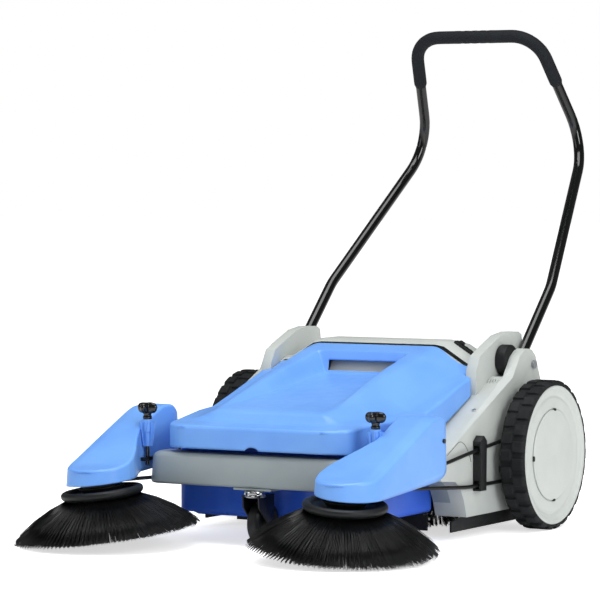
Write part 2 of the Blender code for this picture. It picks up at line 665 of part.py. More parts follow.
def make_gears(name, side, wheel_axis, pinion_axis):
    """Ring gear inside the wheel and the pinion that it turns."""
    toward = math.atan2(ROLLER_Z - AXLE_Z, ROLLER_Y)
    step = 2 * math.pi / RING_TEETH
    inner = tooth_ring(RING_TEETH, RING_PITCH, RING_PITCH + DEDENDUM, RING_PITCH - ADDENDUM,
                       toward + step / 2, 0.14)
    inner = [(y, z + AXLE_Z) for y, z in inner]
    outer = circle((0, AXLE_Z), RIM_RADIUS - 0.004 - GAP, WHEEL_STEPS)
    low, high = sorted((side * GEAR_IN, side * GEAR_OUT))
    ring = prism(name + "_ring_gear", outer, low, high, holes=[inner])
    hang(ring, wheel_axis)
    paint(ring, DARK_GREY, 0.5)
    outline = tooth_ring(PINION_TEETH, PINION_PITCH, PINION_PITCH - DEDENDUM,
                         PINION_PITCH + ADDENDUM, toward, 0.11)
    outline = [(y + ROLLER_Y, z + ROLLER_Z) for y, z in outline]
    bore = circle((ROLLER_Y, ROLLER_Z), ROLLER_SHAFT_RADIUS + RUN, 16)
    pinion = prism(name + "_pinion", outline, low, high, holes=[bore])
    hang(pinion, pinion_axis)
    paint(pinion, BLACK, 0.5)


def make_roller(axis):
    """Shaft, core and bristles of the main brush."""
    end = GEAR_OUT + 0.002
    shaft = hang(rod("roller_shaft", (ROLLER_Y, ROLLER_Z), ROLLER_SHAFT_RADIUS, -end, end), axis)
    paint(shaft, STEEL, 0.3, 1.0)
    length = BODY_HALF - 0.007
    core = lathe("roller_core", [(ROLLER_SHAFT_RADIUS + GAP, -length), (ROLLER_CORE_RADIUS, -length),
                                 (ROLLER_CORE_RADIUS, length),
                                 (ROLLER_SHAFT_RADIUS + GAP, length)], 24)
    core.parent = axis
    paint(core, DARK_GREY, 0.6)
    inside = ROLLER_CORE_RADIUS + GAP
    bristles = lathe("roller_bristles", [(inside, -length + 0.004), (ROLLER_RADIUS, -length + 0.004),
                                         (ROLLER_RADIUS, length - 0.004),
                                         (inside, length - 0.004)], 32)
    bristles.parent = axis
    paint(bristles, BLACK, 0.9)


# ---------------------------------------------------------------- side brushes and their arms
def make_side_brush(name, axis):
    """Bristle skirt and the disc with its belt pulley; local Z is the brush axis."""
    top = BRUSH_RIM_LOW - GAP
    skirt = lathe(name + "_brush_bristles", [
        (BRUSH_RIM_RADIUS - 0.024, top), (BRUSH_TIP_RADIUS - 0.030, 0.006),
        (BRUSH_TIP_RADIUS - 0.010, 0.0), (BRUSH_TIP_RADIUS, 0.002),
        (BRUSH_TIP_RADIUS - 0.004, 0.008), (BRUSH_RIM_RADIUS - 0.006, top)], 36)
    skirt.parent = axis
    paint(skirt, BLACK, 0.9)
    bore = SPINDLE_RADIUS + RUN
    groove = BRUSH_PULLEY_RADIUS - BELT_RADIUS - BELT_SLACK
    flange = BRUSH_PULLEY_RADIUS + 0.003
    low_lip = BRUSH_BELT_HEIGHT - 0.0085
    high_lip = BRUSH_BELT_HEIGHT + 0.0062
    low = BRUSH_RIM_LOW
    high = BRUSH_RIM_HIGH
    rim = BRUSH_RIM_RADIUS
    disc = lathe(name + "_brush_disc", [
        (bore, low + 0.002), (rim - 0.008, low), (rim, low + 0.006), (rim, high - 0.006),
        (rim - 0.007, high), (rim - 0.014, high - 0.003), (rim - 0.017, low + 0.008),
        (0.028, low + 0.008),
        (flange, low_lip - 0.0013), (flange, low_lip), (groove, low_lip), (groove, high_lip),
        (flange, high_lip), (flange, high_lip + 0.0013), (bore, high_lip + 0.0013)], 24)
    disc.parent = axis
    paint(disc, DARK_GREY, 0.45)


def arm_outline(side, inset, lift):
    """Plan of an arm cover: a round nose over the brush and a narrower tail; lift leans it in."""
    centre = (BRUSH_X + 0.0135, BRUSH_Y + 0.0015)
    nose = circle(centre, ARM_FRONT_RADIUS - inset - lift * 0.003, 11,
                  math.radians(165), math.radians(200))
    inner = ARM_INNER + inset
    outer = ARM_OUTER - inset - lift * 0.003
    rear = ARM_REAR - inset
    tail = [(outer, rear - 0.030), (outer - 0.006, rear - 0.010), (outer - 0.018, rear),
            (inner + 0.018, rear), (inner + 0.006, rear - 0.009), (inner, rear - 0.030),
            (inner, COLUMN_Y - 0.018), (inner - 0.010, COLUMN_Y - 0.044),
            (inner - 0.034 + lift * 0.012, COLUMN_Y - 0.076)]
    return [(side * x, y) for x, y in nose + tail]


def arm_low(side, x, y):
    """Lower edge of an arm cover: a plane parallel to the brush disc, clear above it."""
    place = brush_frame(side)
    normal = place.to_3x3() @ Vector((0, 0, 1))
    point = place @ Vector((0, 0, BRUSH_RIM_HIGH + 0.0095))
    return point.z - (normal.x * (x - point.x) + normal.y * (y - point.y)) / normal.z


def arm_top(y):
    """Upper face of an arm cover: nearly level at the nose, a straight rise, a rounded tail."""
    rise = 0.1431 + 0.4568 * (y + 0.6387)
    crest = 0.2365
    if y > -0.395:
        fall = (y + 0.395) / 0.030
        crest -= 0.020 * fall * fall
    nose = 0.136 + 0.12 * (y + 0.6825)
    return max(min(rise, crest), nose)


def arm_solid(title, side, inset, base):
    """Solid inside the arm cover's faces, inset from them by a wall and open below by base."""
    outline = arm_outline(side, inset, 0.0)
    upper = arm_outline(side, inset, 1.0)
    edge = 0.006
    rings = [[(x, y, arm_low(side, x, y) - base) for x, y in outline],
             [(x, y, arm_top(y) - inset - edge) for x, y in upper],
             [(side * (abs(x) - math.copysign(edge / 2, abs(x) - ARM_MIDDLE)), y, arm_top(y) - inset)
              for x, y in upper]]
    bm = bmesh.new()
    loops = [[bm.verts.new(point) for point in ring] for ring in rings]
    for first, second in zip(loops, loops[1:]):
        for index in range(len(first)):
            after = (index + 1) % len(first)
            bm.faces.new((first[index], first[after], second[after], second[index]))
    for loop in (loops[0], loops[-1]):
        edges = [bm.edges.get((loop[i - 1], loop[i])) for i in range(len(loop))]
        bmesh.ops.triangle_fill(bm, edges=edges, use_beauty=True)
    return finish_mesh(bm, title, smooth=False)


def arm_cover(name, side):
    """Blue moulded cover with the ribbed column that the knob's rod passes through."""
    cover = arm_solid(name + "_arm_cover", side, 0.0, 0.0)
    cut(cover, arm_solid("hollow", side, ARM_WALL, 0.03))
    centre = (side * COLUMN_X, COLUMN_Y)
    join(cover, rod("column", centre, COLUMN_RADIUS, COLUMN_LOW, COLUMN_HIGH, "Z", 20))
    cut(cover, rod("rod_bore", centre, ROD_RADIUS + GAP, 0.15, 0.23, "Z", 12))
    reach = (side * ARM_MIDDLE - 0.06, side * ARM_MIDDLE + 0.06)
    cut(cover, rod("pin_bore", (ARM_PIVOT_Y, ARM_PIVOT_Z), PIN_RADIUS + RUN, *reach, sides=12))
    low, high = sorted((side * (ARM_INNER - 0.01), side * (ARM_OUTER - ARM_WALL - 0.0005)))
    cut(cover, block("belt_way", (low, ARM_REAR - 0.045, 0.09), (high, ARM_REAR + 0.02, 0.168)))
    low, high = sorted((side * (ARM_INNER - 0.02), side * (ARM_INNER + 0.010)))
    cut(cover, block("shelf_way", (low, COLUMN_Y - 0.022, 0.09), (high, ARM_REAR + 0.02, 0.162)))
    return cover


def arm_lever(name, side):
    """Steel lever inside the cover, from the pivot pin to the brush spindle."""
    place = brush_frame(side)
    head = place @ Vector((0, 0, PAD_LOW + PAD_THICK / 2))
    rise = [(-0.385, 0.206), (-0.415, 0.206), (-0.425, 0.196), (-0.575, 0.139), (-0.585, 0.132),
            (-0.575, 0.1285), (-0.421, 0.178), (-0.412, 0.176), (-0.385, 0.176)]
    low, high = sorted((side * (LEVER_X - 0.0025), side * (LEVER_X + 0.0025)))
    lever = prism(name + "_arm_lever", rise, low, high)
    reach = (side * LEVER_X - 0.03, side * LEVER_X + 0.03)
    cut(lever, rod("pin_bore", (ARM_PIVOT_Y, ARM_PIVOT_Z), PIN_RADIUS + RUN, *reach, sides=12))
    pad = rod("pad", (0, 0), 0.026, PAD_LOW, PAD_LOW + PAD_THICK, "Z", 20)
    pad.data.transform(place)
    foot_low, foot_high = sorted((side * (LEVER_X - 0.0155), side * (LEVER_X + 0.0025)))
    foot = prism("foot", [(-0.626, head.z - 0.0015), (-0.565, head.z + 0.0035),
                          (-0.565, head.z + 0.024), (-0.592, head.z + 0.018),
                          (-0.626, head.z + 0.003)], foot_low, foot_high)
    join(lever, pad, foot)
    bore = rod("spindle_bore", (0, 0), SPINDLE_RADIUS - 0.002 + GAP, 0.09, 0.13, "Z", 12)
    bore.data.transform(place)
    return cut(lever, bore)


def make_arm(name, side, pivot, spin):
    """Cover, lever and spindle of one side brush arm."""
    paint(hang(arm_cover(name, side), pivot), BLUE, 0.4)
    paint(hang(arm_lever(name, side), pivot), BLACK, 0.5, 0.6)
    thin = SPINDLE_RADIUS - 0.002
    low = BRUSH_RIM_LOW
    spindle = lathe(name + "_brush_spindle", [
        (0.0015, low - 0.006), (0.011, low - 0.006), (0.011, low + 0.0015),
        (SPINDLE_RADIUS, low + 0.0015), (SPINDLE_RADIUS, PAD_LOW - GAP), (thin, PAD_LOW - GAP),
        (thin, PAD_LOW + 0.0100), (0.0015, PAD_LOW + 0.0100)], 12)
    spindle.data.transform(spin.matrix_world)
    spindle.data.transform(pivot.matrix_world.inverted())
    spindle.parent = pivot
    paint(spindle, STEEL, 0.3, 1.0)


def make_knob(name, axis):
    """Four-lobed star knob with its threaded rod, turned about local Z from the column top."""
    base = COLUMN_HIGH + GAP
    points = []
    for step in range(32):
        angle = 2 * math.pi * step / 32
        radius = KNOB_RADIUS * (0.74 + 0.26 * math.cos(4 * angle))
        points.append((radius * math.cos(angle), radius * math.sin(angle)))
    rings = []
    for height, share in ((0.2250, 0.80), (0.2290, 1.0), (0.2400, 1.0), (0.2440, 0.80)):
        rings.append([(x * share, y * share, height) for x, y in points])
    knob = loft(name + "_star_knob", rings, smooth=True)
    join(knob, rod("neck", (0, 0), 0.0085, base, 0.2255, "Z", 16))
    join(knob, rod("thread", (0, 0), ROD_RADIUS, 0.1330, base + 0.003, "Z", 12))
    knob.data.transform(Matrix.Translation((0, 0, -ARM_PIVOT_Z)))
    knob.parent = axis
    paint(knob, BLACK, 0.3)


# ---------------------------------------------------------------- hopper
def hopper_rings():
    """Cross sections of the hopper's upper body, front to back.

    Each row: y, half width and height of the crown, half width where the slope ends, height of
    the flange, half width of the flange, height of the skirt's lower edge."""
    wide = HOPPER_HALF
    narrow = BODY_HALF - 0.0012
    high = BEAM_HIGH + 0.008
    flange_end = -0.1155
    return [(BEAM_FRONT, 0.104, 0.2095, 0.120, 0.2090, 0.128, high + 0.001),
            (BEAM_FRONT + 0.020, 0.120, 0.2120, 0.165, 0.2105, 0.180, high),
            (-0.480, 0.118, 0.2150, 0.165, 0.2135, 0.1875, high),
            (-0.468, 0.112, 0.2320, 0.150, 0.2150, 0.1885, high),
            (-0.430, 0.114, 0.2430, 0.160, 0.2180, 0.1950, high + 0.001),
            (-0.350, 0.118, 0.2660, 0.175, 0.2210, wide, high + 0.002),
            (-0.300, 0.122, 0.2800, 0.180, 0.2250, wide, high + 0.006),
            (-0.240, 0.126, 0.2960, 0.183, 0.2430, wide, 0.1950),
            (flange_end, 0.1315, 0.3255, 0.185, 0.2830, wide, 0.2490),
            (flange_end + 0.0005, 0.1315, 0.3256, 0.185, 0.2830, narrow, 0.2560),
            (HOPPER_REAR, 0.131, 0.3330, 0.180, 0.2960, narrow, 0.2640)]


def section(y, crown, top, shoulder, flange, edge, low):
    """One closed cross section of the upper body."""
    half = [(crown, y, top), (shoulder, y, flange), (edge, y, flange), (edge, y, low)]
    return half + [(-x, y, z) for x, y, z in reversed(half)]


def panel_height(y):
    """Height of the scooped panel in front of the grip slot."""
    return 0.2400 + (y + 0.440) * 0.1435


def make_hopper(parent):
    """Lift-out dirt hopper with its crown, flange, scooped panel, grip slot and rear mouth."""
    body = loft("hopper", [section(*row) for row in hopper_rings()])
    half = BODY_HALF - 0.0037
    front = BEAM_REAR + 0.016
    corner = 0.012
    low_outline = [(half, MOUTH_Y), (half, front + corner), (half - corner, front),
                   (-half + corner, front), (-half, front + corner), (-half, MOUTH_Y)]
    join(body, prism("tub", low_outline, HOPPER_LOW, 0.200, axis="Z"))
    wall = HOPPER_WALL
    rings = []
    for y, crown, top, shoulder, flange, edge, low in hopper_rings()[:8]:
        roof = min(top, panel_height(y)) - wall if y > -0.45 else top - wall
        y_in = y + wall if y < BEAM_FRONT + 0.01 else y
        rings.append(section(y_in, crown - wall, max(roof, flange - wall + 0.0004), shoulder - wall,
                             flange - wall, edge - wall, low + wall))
    rings.append(section(-0.150, 0.110, panel_height(-0.150) - wall, 0.170, 0.2660, 0.2140, 0.2390))
    cut(body, loft("upper_hollow", rings))
    inner = half - wall
    tub_hollow = [(inner, MOUTH_Y + 0.010), (inner, front + corner + wall),
                  (inner - corner, front + wall), (-inner + corner, front + wall),
                  (-inner, front + corner + wall), (-inner, MOUTH_Y + 0.010)]
    cut(body, prism("tub_hollow", tub_hollow, HOPPER_LOW + wall, 0.195, axis="Z"))
    back = -0.125
    panel = prism("scoop", [(-0.440, panel_height(-0.440)), (back, panel_height(back)),
                            (back, 0.40), (-0.440, 0.40)], -0.078, 0.078)
    cut(body, panel)
    slot_low = panel_height(back)
    cut(body, block("grip_slot", (-0.078, back - 0.02, slot_low), (0.078, HOPPER_REAR + 0.02, 0.3080)))
    hang(body, parent)
    paint(body, BLUE, 0.4)
    lip = prism("hopper_lip", [(MOUTH_Y - 0.010, 0.014), (MOUTH_Y - 0.006, 0.014),
                               (MOUTH_Y - 0.006, HOPPER_LOW - GAP), (MOUTH_Y - 0.024,
                               HOPPER_LOW - GAP), (MOUTH_Y - 0.024, HOPPER_LOW - 0.004),
                               (MOUTH_Y - 0.010, HOPPER_LOW - 0.004)], -half + 0.004, half - 0.004)
    hang(lip, parent)
    paint(lip, BLACK, 0.8)


# ---------------------------------------------------------------- caster and height slider
def make_caster(swivel, roll):
    """Swivelling fork and its wheel."""
    fork_top = BEAM_LOW - 0.0043 - GAP
    y = CASTER_Y + CASTER_TRAIL
    z = CASTER_RADIUS + 0.0003
    inner = CASTER_WIDTH / 2 + 0.0015
    fork = rod("caster_fork", (0, CASTER_Y), 0.017, fork_top - 0.008, fork_top, "Z", 20)
    crown = [(CASTER_Y - 0.017, fork_top - 0.0075), (y + 0.012, fork_top - 0.0075),
             (y + 0.012, fork_top - 0.0105), (CASTER_Y - 0.017, fork_top - 0.0105)]
    join(fork, prism("crown", crown, -inner - 0.0025, inner + 0.0025))
    cheek = [(CASTER_Y - 0.015, fork_top - 0.009), (y + 0.011, fork_top - 0.009),
             (y + 0.010, z + 0.004), (y, z - 0.010), (y - 0.009, z - 0.004),
             (CASTER_Y - 0.013, 0.070)]
    for side in (-1, 1):
        low, high = sorted((side * inner, side * (inner + 0.0025)))
        join(fork, prism("cheek", cheek, low, high))
    join(fork, rod("caster_pin", (y, z), 0.0035, -inner - 0.006, inner + 0.006, sides=12))
    hang(fork, swivel)
    paint(fork, STEEL, 0.2, 1.0)
    half = CASTER_WIDTH / 2
    wheel = lathe("caster_wheel", [
        (0.0038, -half), (0.012, -half), (0.016, -half + 0.004), (CASTER_RADIUS - 0.009, -half + 0.004),
        (CASTER_RADIUS - 0.006, -half), (CASTER_RADIUS, -half + 0.006), (CASTER_RADIUS, half - 0.006),
        (CASTER_RADIUS - 0.006, half), (CASTER_RADIUS - 0.009, half - 0.004), (0.016, half - 0.004),
        (0.012, half), (0.0038, half)], 24)
    wheel.parent = roll
    paint(wheel, BLACK, 0.6)


def make_height_slider(machine, track):
    """Notched guide on the right shoulder of the rear cover, and the slider that runs in it."""
    length = 0.056
    teeth = 5
    guide = block("notched_guide", (0, -0.007, 0.0003), (length, 0.007, 0.005))
    for tooth in range(teeth):
        x = 0.009 + tooth * (length - 0.018) / (teeth - 1)
        cut(guide, rod("notch", (x, 0.0078), 0.0030, -0.01, 0.02, "Z", 8))
    cut(guide, block("slot", (0.005, -0.0026, 0.0021), (length - 0.005, 0.0026, 0.02)))
    guide.data.transform(track.matrix_world)
    hang(guide, machine)
    paint(guide, BLACK, 0.5)
    slider = block("height_slider", (0.007, -0.0022, 0.0025), (0.017, 0.0022, 0.0054))
    join(slider, block("finger", (0.007, -0.0050, 0.0053), (0.017, 0.0050, 0.0098)))
    slider.parent = track
    paint(slider, BLACK, 0.4)


# ---------------------------------------------------------------- assembly
def build():
    """Make every axis, then every piece on it."""
    clear_scene()
    front = BRUSH_Y - BRUSH_TIP_RADIUS * math.cos(BRUSH_TILT_FORWARD)
    rear = max(point.y for point in handle_path()) + TUBE_RADIUS
    shift = Vector((0, -(front + rear) / 2, 0))
    machine = empty("machine", (0, 0, 0))
    make_chassis(machine)
    pivot = empty("handle_pivot", (0, PIVOT_Y, PIVOT_Z), machine)
    make_handle(pivot)
    for name, side in SIDES:
        outward = Matrix.Rotation(side * math.pi / 2, 3, "Y")
        wheel_axis = empty(name + "_wheel_axis", (0, 0, AXLE_Z), machine, outward)
        wheel_pieces(name, side, wheel_axis)
        pinion_axis = empty(name + "_pinion_axis", (0, ROLLER_Y, ROLLER_Z), machine)
        make_gears(name, side, wheel_axis, pinion_axis)
        arm_pivot = empty(name + "_arm_pivot", (side * COLUMN_X, ARM_PIVOT_Y, ARM_PIVOT_Z), machine)
        place = brush_frame(side)
        spin = empty(name + "_brush_axis", place.translation, arm_pivot, place.to_3x3())
        make_side_brush(name, spin)
        make_arm(name, side, arm_pivot, spin)
        knob_axis = empty(name + "_knob_axis", (side * COLUMN_X, COLUMN_Y, ARM_PIVOT_Z), arm_pivot)
        make_knob(name, knob_axis)
    lengthways = Matrix.Rotation(math.pi / 2, 3, "Y")
    roller_axis = empty("roller_axis", (0, ROLLER_Y, ROLLER_Z), machine, lengthways)
    make_roller(roller_axis)
    hopper = empty("hopper_lift", (0, MOUTH_Y, HOPPER_LOW), machine)
    make_hopper(hopper)
    swivel = empty("caster_swivel", (0, CASTER_Y, BEAM_LOW), machine)
    centre = (0, CASTER_Y + CASTER_TRAIL, CASTER_RADIUS + 0.0003)
    roll = empty("caster_roll", centre, swivel, lengthways)
    make_caster(swivel, roll)
    along = Vector((SHOULDER_OUT - SHOULDER_IN, 0.0, 0.003 - COVER_DROP)).normalized()
    across = Vector((0.0, 1.0, 0.0))
    up = along.cross(across).normalized()
    turn = Matrix((along, across, up)).transposed()
    track = empty("height_track", (SHOULDER_IN + 0.002, -0.025, COVER_TOP - 0.0042), machine, turn)
    make_height_slider(machine, track)
    machine.location = shift
    bpy.context.view_layer.update()


build()
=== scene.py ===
# %% [markdown]
# # A walk behind sweeper, piece by piece
# A hand pushed sweeper: a blue hopper between two grey side frames, two blue arms that carry round side
# brushes, two big wheels that drive everything by gears and round belts, and a tall folding handle.
# The solid model with its joints is loaded first. It is the frame: it says where every piece goes and what it
# moves with, and each cell below gives one piece its real surface.

# %% Load the frame
import json
import math

import bmesh
import bpy
import numpy as np
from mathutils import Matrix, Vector


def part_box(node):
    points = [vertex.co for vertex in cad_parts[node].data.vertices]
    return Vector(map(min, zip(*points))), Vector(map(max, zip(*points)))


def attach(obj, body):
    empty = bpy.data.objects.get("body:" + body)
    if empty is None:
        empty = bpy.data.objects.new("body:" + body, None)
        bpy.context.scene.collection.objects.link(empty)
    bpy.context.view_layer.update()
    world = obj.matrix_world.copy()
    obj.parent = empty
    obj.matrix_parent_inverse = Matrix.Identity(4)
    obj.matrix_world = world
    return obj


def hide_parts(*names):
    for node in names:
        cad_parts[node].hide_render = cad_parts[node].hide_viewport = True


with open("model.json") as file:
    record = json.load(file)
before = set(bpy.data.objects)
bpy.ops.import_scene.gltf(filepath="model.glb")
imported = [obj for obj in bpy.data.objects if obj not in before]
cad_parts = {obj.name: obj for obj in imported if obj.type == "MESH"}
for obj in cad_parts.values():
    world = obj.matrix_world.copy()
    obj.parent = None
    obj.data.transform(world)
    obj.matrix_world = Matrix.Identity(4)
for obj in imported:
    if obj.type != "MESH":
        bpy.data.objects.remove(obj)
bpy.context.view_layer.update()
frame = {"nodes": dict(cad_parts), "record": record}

nodes = frame["nodes"]
joints = {joint["name"]: joint for joint in frame["record"]["behaviour"]["joints"]}
SIDES = (("left", -1), ("right", 1))

# %% [markdown]
# ## Where things are
# The shapes below are written about the wheel axle, where the gears and belts are easy to think about.
# The axle's place along the machine is read from the frame, and one function adds it.

# %% Places read from the frame
AXLE_Y = joints["right_wheel_spin"]["pos_m"][1]
AXLE_Z = joints["right_wheel_spin"]["pos_m"][2]


def placed(points):
    """Points written with y from the axle, moved to the frame: y grows by the axle's y."""
    return np.asarray(points, float) + np.array([0.0, AXLE_Y, 0.0])


print("axle at y", round(AXLE_Y, 4), "z", round(AXLE_Z, 4))

# %% [markdown]
# ## Turning arrays into meshes
# Every new surface is a grid of points: rows along one parameter, columns along the other. A grid becomes
# quads by pairing each point with its neighbours, all at once with index arrays.
# The mesh is then merged where points meet, and its faces are turned outwards.

# %% Grid to mesh
def mesh_object(name, points, faces, smooth=35.0, merge=True):
    """An object from an (n, 3) array of points and a list of faces; edges sharper than smooth stay sharp."""
    mesh = bpy.data.meshes.new(name)
    mesh.from_pydata(np.asarray(points, float).reshape(-1, 3).tolist(), [], faces)
    bm = bmesh.new()
    bm.from_mesh(mesh)
    if merge:
        bmesh.ops.remove_doubles(bm, verts=bm.verts, dist=2e-6)
        bmesh.ops.dissolve_degenerate(bm, edges=bm.edges, dist=2e-6)
    bmesh.ops.recalc_face_normals(bm, faces=bm.faces)
    bm.to_mesh(mesh)
    bm.free()
    mesh.shade_smooth()
    mesh.set_sharp_from_angle(angle=math.radians(smooth))
    obj = bpy.data.objects.new(name, mesh)
    bpy.context.collection.objects.link(obj)
    return obj


def grid_faces(rows, columns, around=False, along=False, start=0):
    """Quads of a rows by columns grid; around joins the last column to the first, along the last row."""
    index = start + np.arange(rows * columns).reshape(rows, columns)
    if around:
        index = np.hstack([index, index[:, :1]])
    if along:
        index = np.vstack([index, index[:1]])
    corners = (index[:-1, :-1], index[:-1, 1:], index[1:, 1:], index[1:, :-1])
    return np.stack([corner.ravel() for corner in corners], axis=1)


def skin(name, grid, around=True, along=False, caps=True, smooth=35.0):
    """Mesh over a (rows, columns, 3) grid; caps close the first and the last row with one face each."""
    grid = np.asarray(grid, float)
    rows, columns = grid.shape[:2]
    faces = grid_faces(rows, columns, around, along).tolist()
    if caps and not along:
        faces.append(list(range(columns)))
        faces.append(list(range((rows - 1) * columns, rows * columns)))
    return mesh_object(name, grid, faces, smooth)


print("helpers for grids ready")

# %% [markdown]
# ## Soft corners
# Moulded and bent things have no knife edges. One function rounds the corners of any polyline: each corner
# is swapped for a short curve that leaves one edge and joins the next, so a shape is written with its few
# true corners and comes out soft.

# %% Rounding a polyline's corners
def soft_corners(lines, reach, steps=4, closed=True):
    """Each corner P becomes a quadratic curve from P + a to P + b, bending towards P.

    a and b point along the two edges, as long as reach but at most 0.45 of the edge. Works on one polyline
    (n, d) or on a stack of them (m, n, d) at once."""
    lines = np.asarray(lines, float)
    single = lines.ndim == 2
    if single:
        lines = lines[None]
    before = np.roll(lines, 1, axis=1) - lines
    after = np.roll(lines, -1, axis=1) - lines
    if not closed:
        before[:, 0] = 0.0
        after[:, -1] = 0.0
    reach = np.broadcast_to(np.asarray(reach, float), lines.shape[:2])

    def arm(edge):
        """The edge shortened to reach, but to no more than 0.45 of itself."""
        length = np.linalg.norm(edge, axis=2)
        share = np.minimum(reach / np.maximum(length, 1e-9), 0.45)
        return edge * share[..., None]

    first = arm(before)
    last = arm(after)
    t = np.linspace(0.0, 1.0, steps)[None, None, :, None]
    curve = lines[:, :, None] + first[:, :, None] * (1 - t) ** 2 + last[:, :, None] * t ** 2
    result = curve.reshape(lines.shape[0], -1, lines.shape[2])
    return result[0] if single else result


def turned(name, profile, centre, axis, count=96, reach=0.0008, steps=4, smooth=35.0):
    """A closed profile of (radius, height) turned round an axis: p = centre + h a + r (u cos t + v sin t)."""
    profile = soft_corners(profile, reach, steps)
    a = np.asarray(axis, float)
    a = a / np.linalg.norm(a)
    u = np.cross(a, (0.0, 0.0, 1.0) if abs(a[2]) < 0.9 else (0.0, 1.0, 0.0))
    u = u / np.linalg.norm(u)
    v = np.cross(a, u)
    t = np.linspace(0.0, 2 * math.pi, count, endpoint=False)[:, None, None]
    radius = profile[None, :, 0, None]
    height = profile[None, :, 1, None]
    grid = np.asarray(centre, float) + height * a + radius * (u * np.cos(t) + v * np.sin(t))
    return skin(name, grid, around=True, along=True, caps=False, smooth=smooth)


def swept(name, path, radius, sides=24, closed=False, smooth=50.0):
    """A round section carried along a path. The section's first arm is the path's sideways direction, made
    square to the tangent at each point, so it doesn't twist; radius is one number or one per point."""
    path = np.asarray(path, float)
    tangent = np.gradient(path, axis=0)
    if closed:
        tangent = np.roll(path, -1, axis=0) - np.roll(path, 1, axis=0)
    tangent /= np.linalg.norm(tangent, axis=1, keepdims=True)
    guide = np.array([0.31, 0.17, 0.935])
    guide = guide / np.linalg.norm(guide)
    u = np.cross(tangent, guide)
    u /= np.linalg.norm(u, axis=1, keepdims=True)
    v = np.cross(tangent, u)
    t = np.linspace(0.0, 2 * math.pi, sides, endpoint=False)
    ring = u[:, None] * np.cos(t)[None, :, None] + v[:, None] * np.sin(t)[None, :, None]
    size = np.broadcast_to(np.asarray(radius, float), (len(path),))
    grid = path[:, None] + ring * size[:, None, None]
    return skin(name, grid, around=True, along=closed, caps=not closed, smooth=smooth)


def softened(node, width=0.0015, segments=3, angle=32.0):
    """A copy of a solid node with its loose triangles merged into flat faces and its edges rounded."""
    mesh = nodes[node].data.copy()
    mesh.materials.clear()
    bm = bmesh.new()
    bm.from_mesh(mesh)
    bmesh.ops.remove_doubles(bm, verts=bm.verts, dist=1e-5)
    bmesh.ops.dissolve_limit(bm, angle_limit=math.radians(1.0), verts=bm.verts, edges=bm.edges)
    bmesh.ops.recalc_face_normals(bm, faces=bm.faces)
    bm.to_mesh(mesh)
    bm.free()
    mesh.shade_smooth()
    obj = bpy.data.objects.new(node + "_soft", mesh)
    bpy.context.collection.objects.link(obj)
    bevel = obj.modifiers.new("soft edges", "BEVEL")
    bevel.width = width
    bevel.segments = segments
    bevel.limit_method = "ANGLE"
    bevel.angle_limit = math.radians(angle)
    bevel.harden_normals = True
    return obj


print("helpers for corners, turned and swept shapes ready")

# %% [markdown]
# ## A short way to write materials
# Colours are sRGB hex values, as a paint chart gives them, and one function turns them to the linear
# numbers that shaders use. One more function adds a node, sets it and links it.

# %% Colour and node helpers
def linear(code):
    """sRGB hex to linear: c / 12.92 in the darks, else ((c + 0.055) / 1.055) to the power 2.4."""
    values = np.array([int(code[i:i + 2], 16) for i in (1, 3, 5)]) / 255.0
    low = values / 12.92
    high = ((values + 0.055) / 1.055) ** 2.4
    return (*np.where(values <= 0.04045, low, high).tolist(), 1.0)


def add(tree, kind, settings=(), **links):
    """A node of that kind. A setting is an attribute if the node has it, else an input's value."""
    node = tree.nodes.new("ShaderNode" + kind)
    for key, value in dict(settings).items():
        if hasattr(node, key):
            setattr(node, key, value)
        else:
            node.inputs[key].default_value = value
    for key, socket in links.items():
        tree.links.new(socket, node.inputs[key.replace("_", " ")])
    return node


def start_material(name, base, roughness, **settings):
    """A new material: its tree, its Principled shader and the place that patterns are read at."""
    material = bpy.data.materials.new(name)
    material.use_nodes = True
    material.diffuse_color = linear(base)
    tree = material.node_tree
    shader = tree.nodes["Principled BSDF"]
    shader.inputs["Base Color"].default_value = linear(base)
    shader.inputs["Roughness"].default_value = roughness
    for key, value in settings.items():
        shader.inputs[key.replace("_", " ")].default_value = value
    place = add(tree, "TexCoord").outputs["Object"]
    return material, tree, shader, place


def mixed(tree, first, second, factor):
    """The socket of a colour between two hex colours, by a factor socket."""
    mix = add(tree, "Mix", {"data_type": "RGBA"})
    mix.inputs[6].default_value = linear(first)
    mix.inputs[7].default_value = linear(second)
    tree.links.new(factor, mix.inputs[0])
    return mix.outputs[2]


def noise(tree, place, scale, detail=2.0, roughness=0.5):
    """Factor of a noise pattern whose lumps are about 1 / scale metres across."""
    settings = {"Scale": scale, "Detail": detail, "Roughness": roughness}
    return add(tree, "TexNoise", settings, Vector=place).outputs["Fac"]


def ranged(tree, value, low, high, new_low=0.0, new_high=1.0):
    """A value carried from the range low to high into the range new_low to new_high."""
    settings = {"From Min": low, "From Max": high, "To Min": new_low, "To Max": new_high}
    return add(tree, "MapRange", settings, Value=value).outputs["Result"]


def bumped(tree, shader, height, strength, distance=0.0004):
    """A height pattern, distance metres deep at full strength, sent to the shader's normal."""
    bump = add(tree, "Bump", {"Strength": strength, "Distance": distance}, Height=height)
    tree.links.new(bump.outputs["Normal"], shader.inputs["Normal"])


print("blue chip in linear", [round(v, 3) for v in linear("#4E8EF0")])

# %% [markdown]
# ## Moulded plastic
# Most of the machine is injection moulded polyethylene and polypropylene. The mould is spark eroded, which
# leaves a fine even grain, about 0.8 mm from bump to bump, and the colour drifts a little where the melt
# cooled slower. Handling leaves faint duller patches, so the roughness wanders too.

# %% Moulded plastic material
MOULD_GRAIN = 0.0009


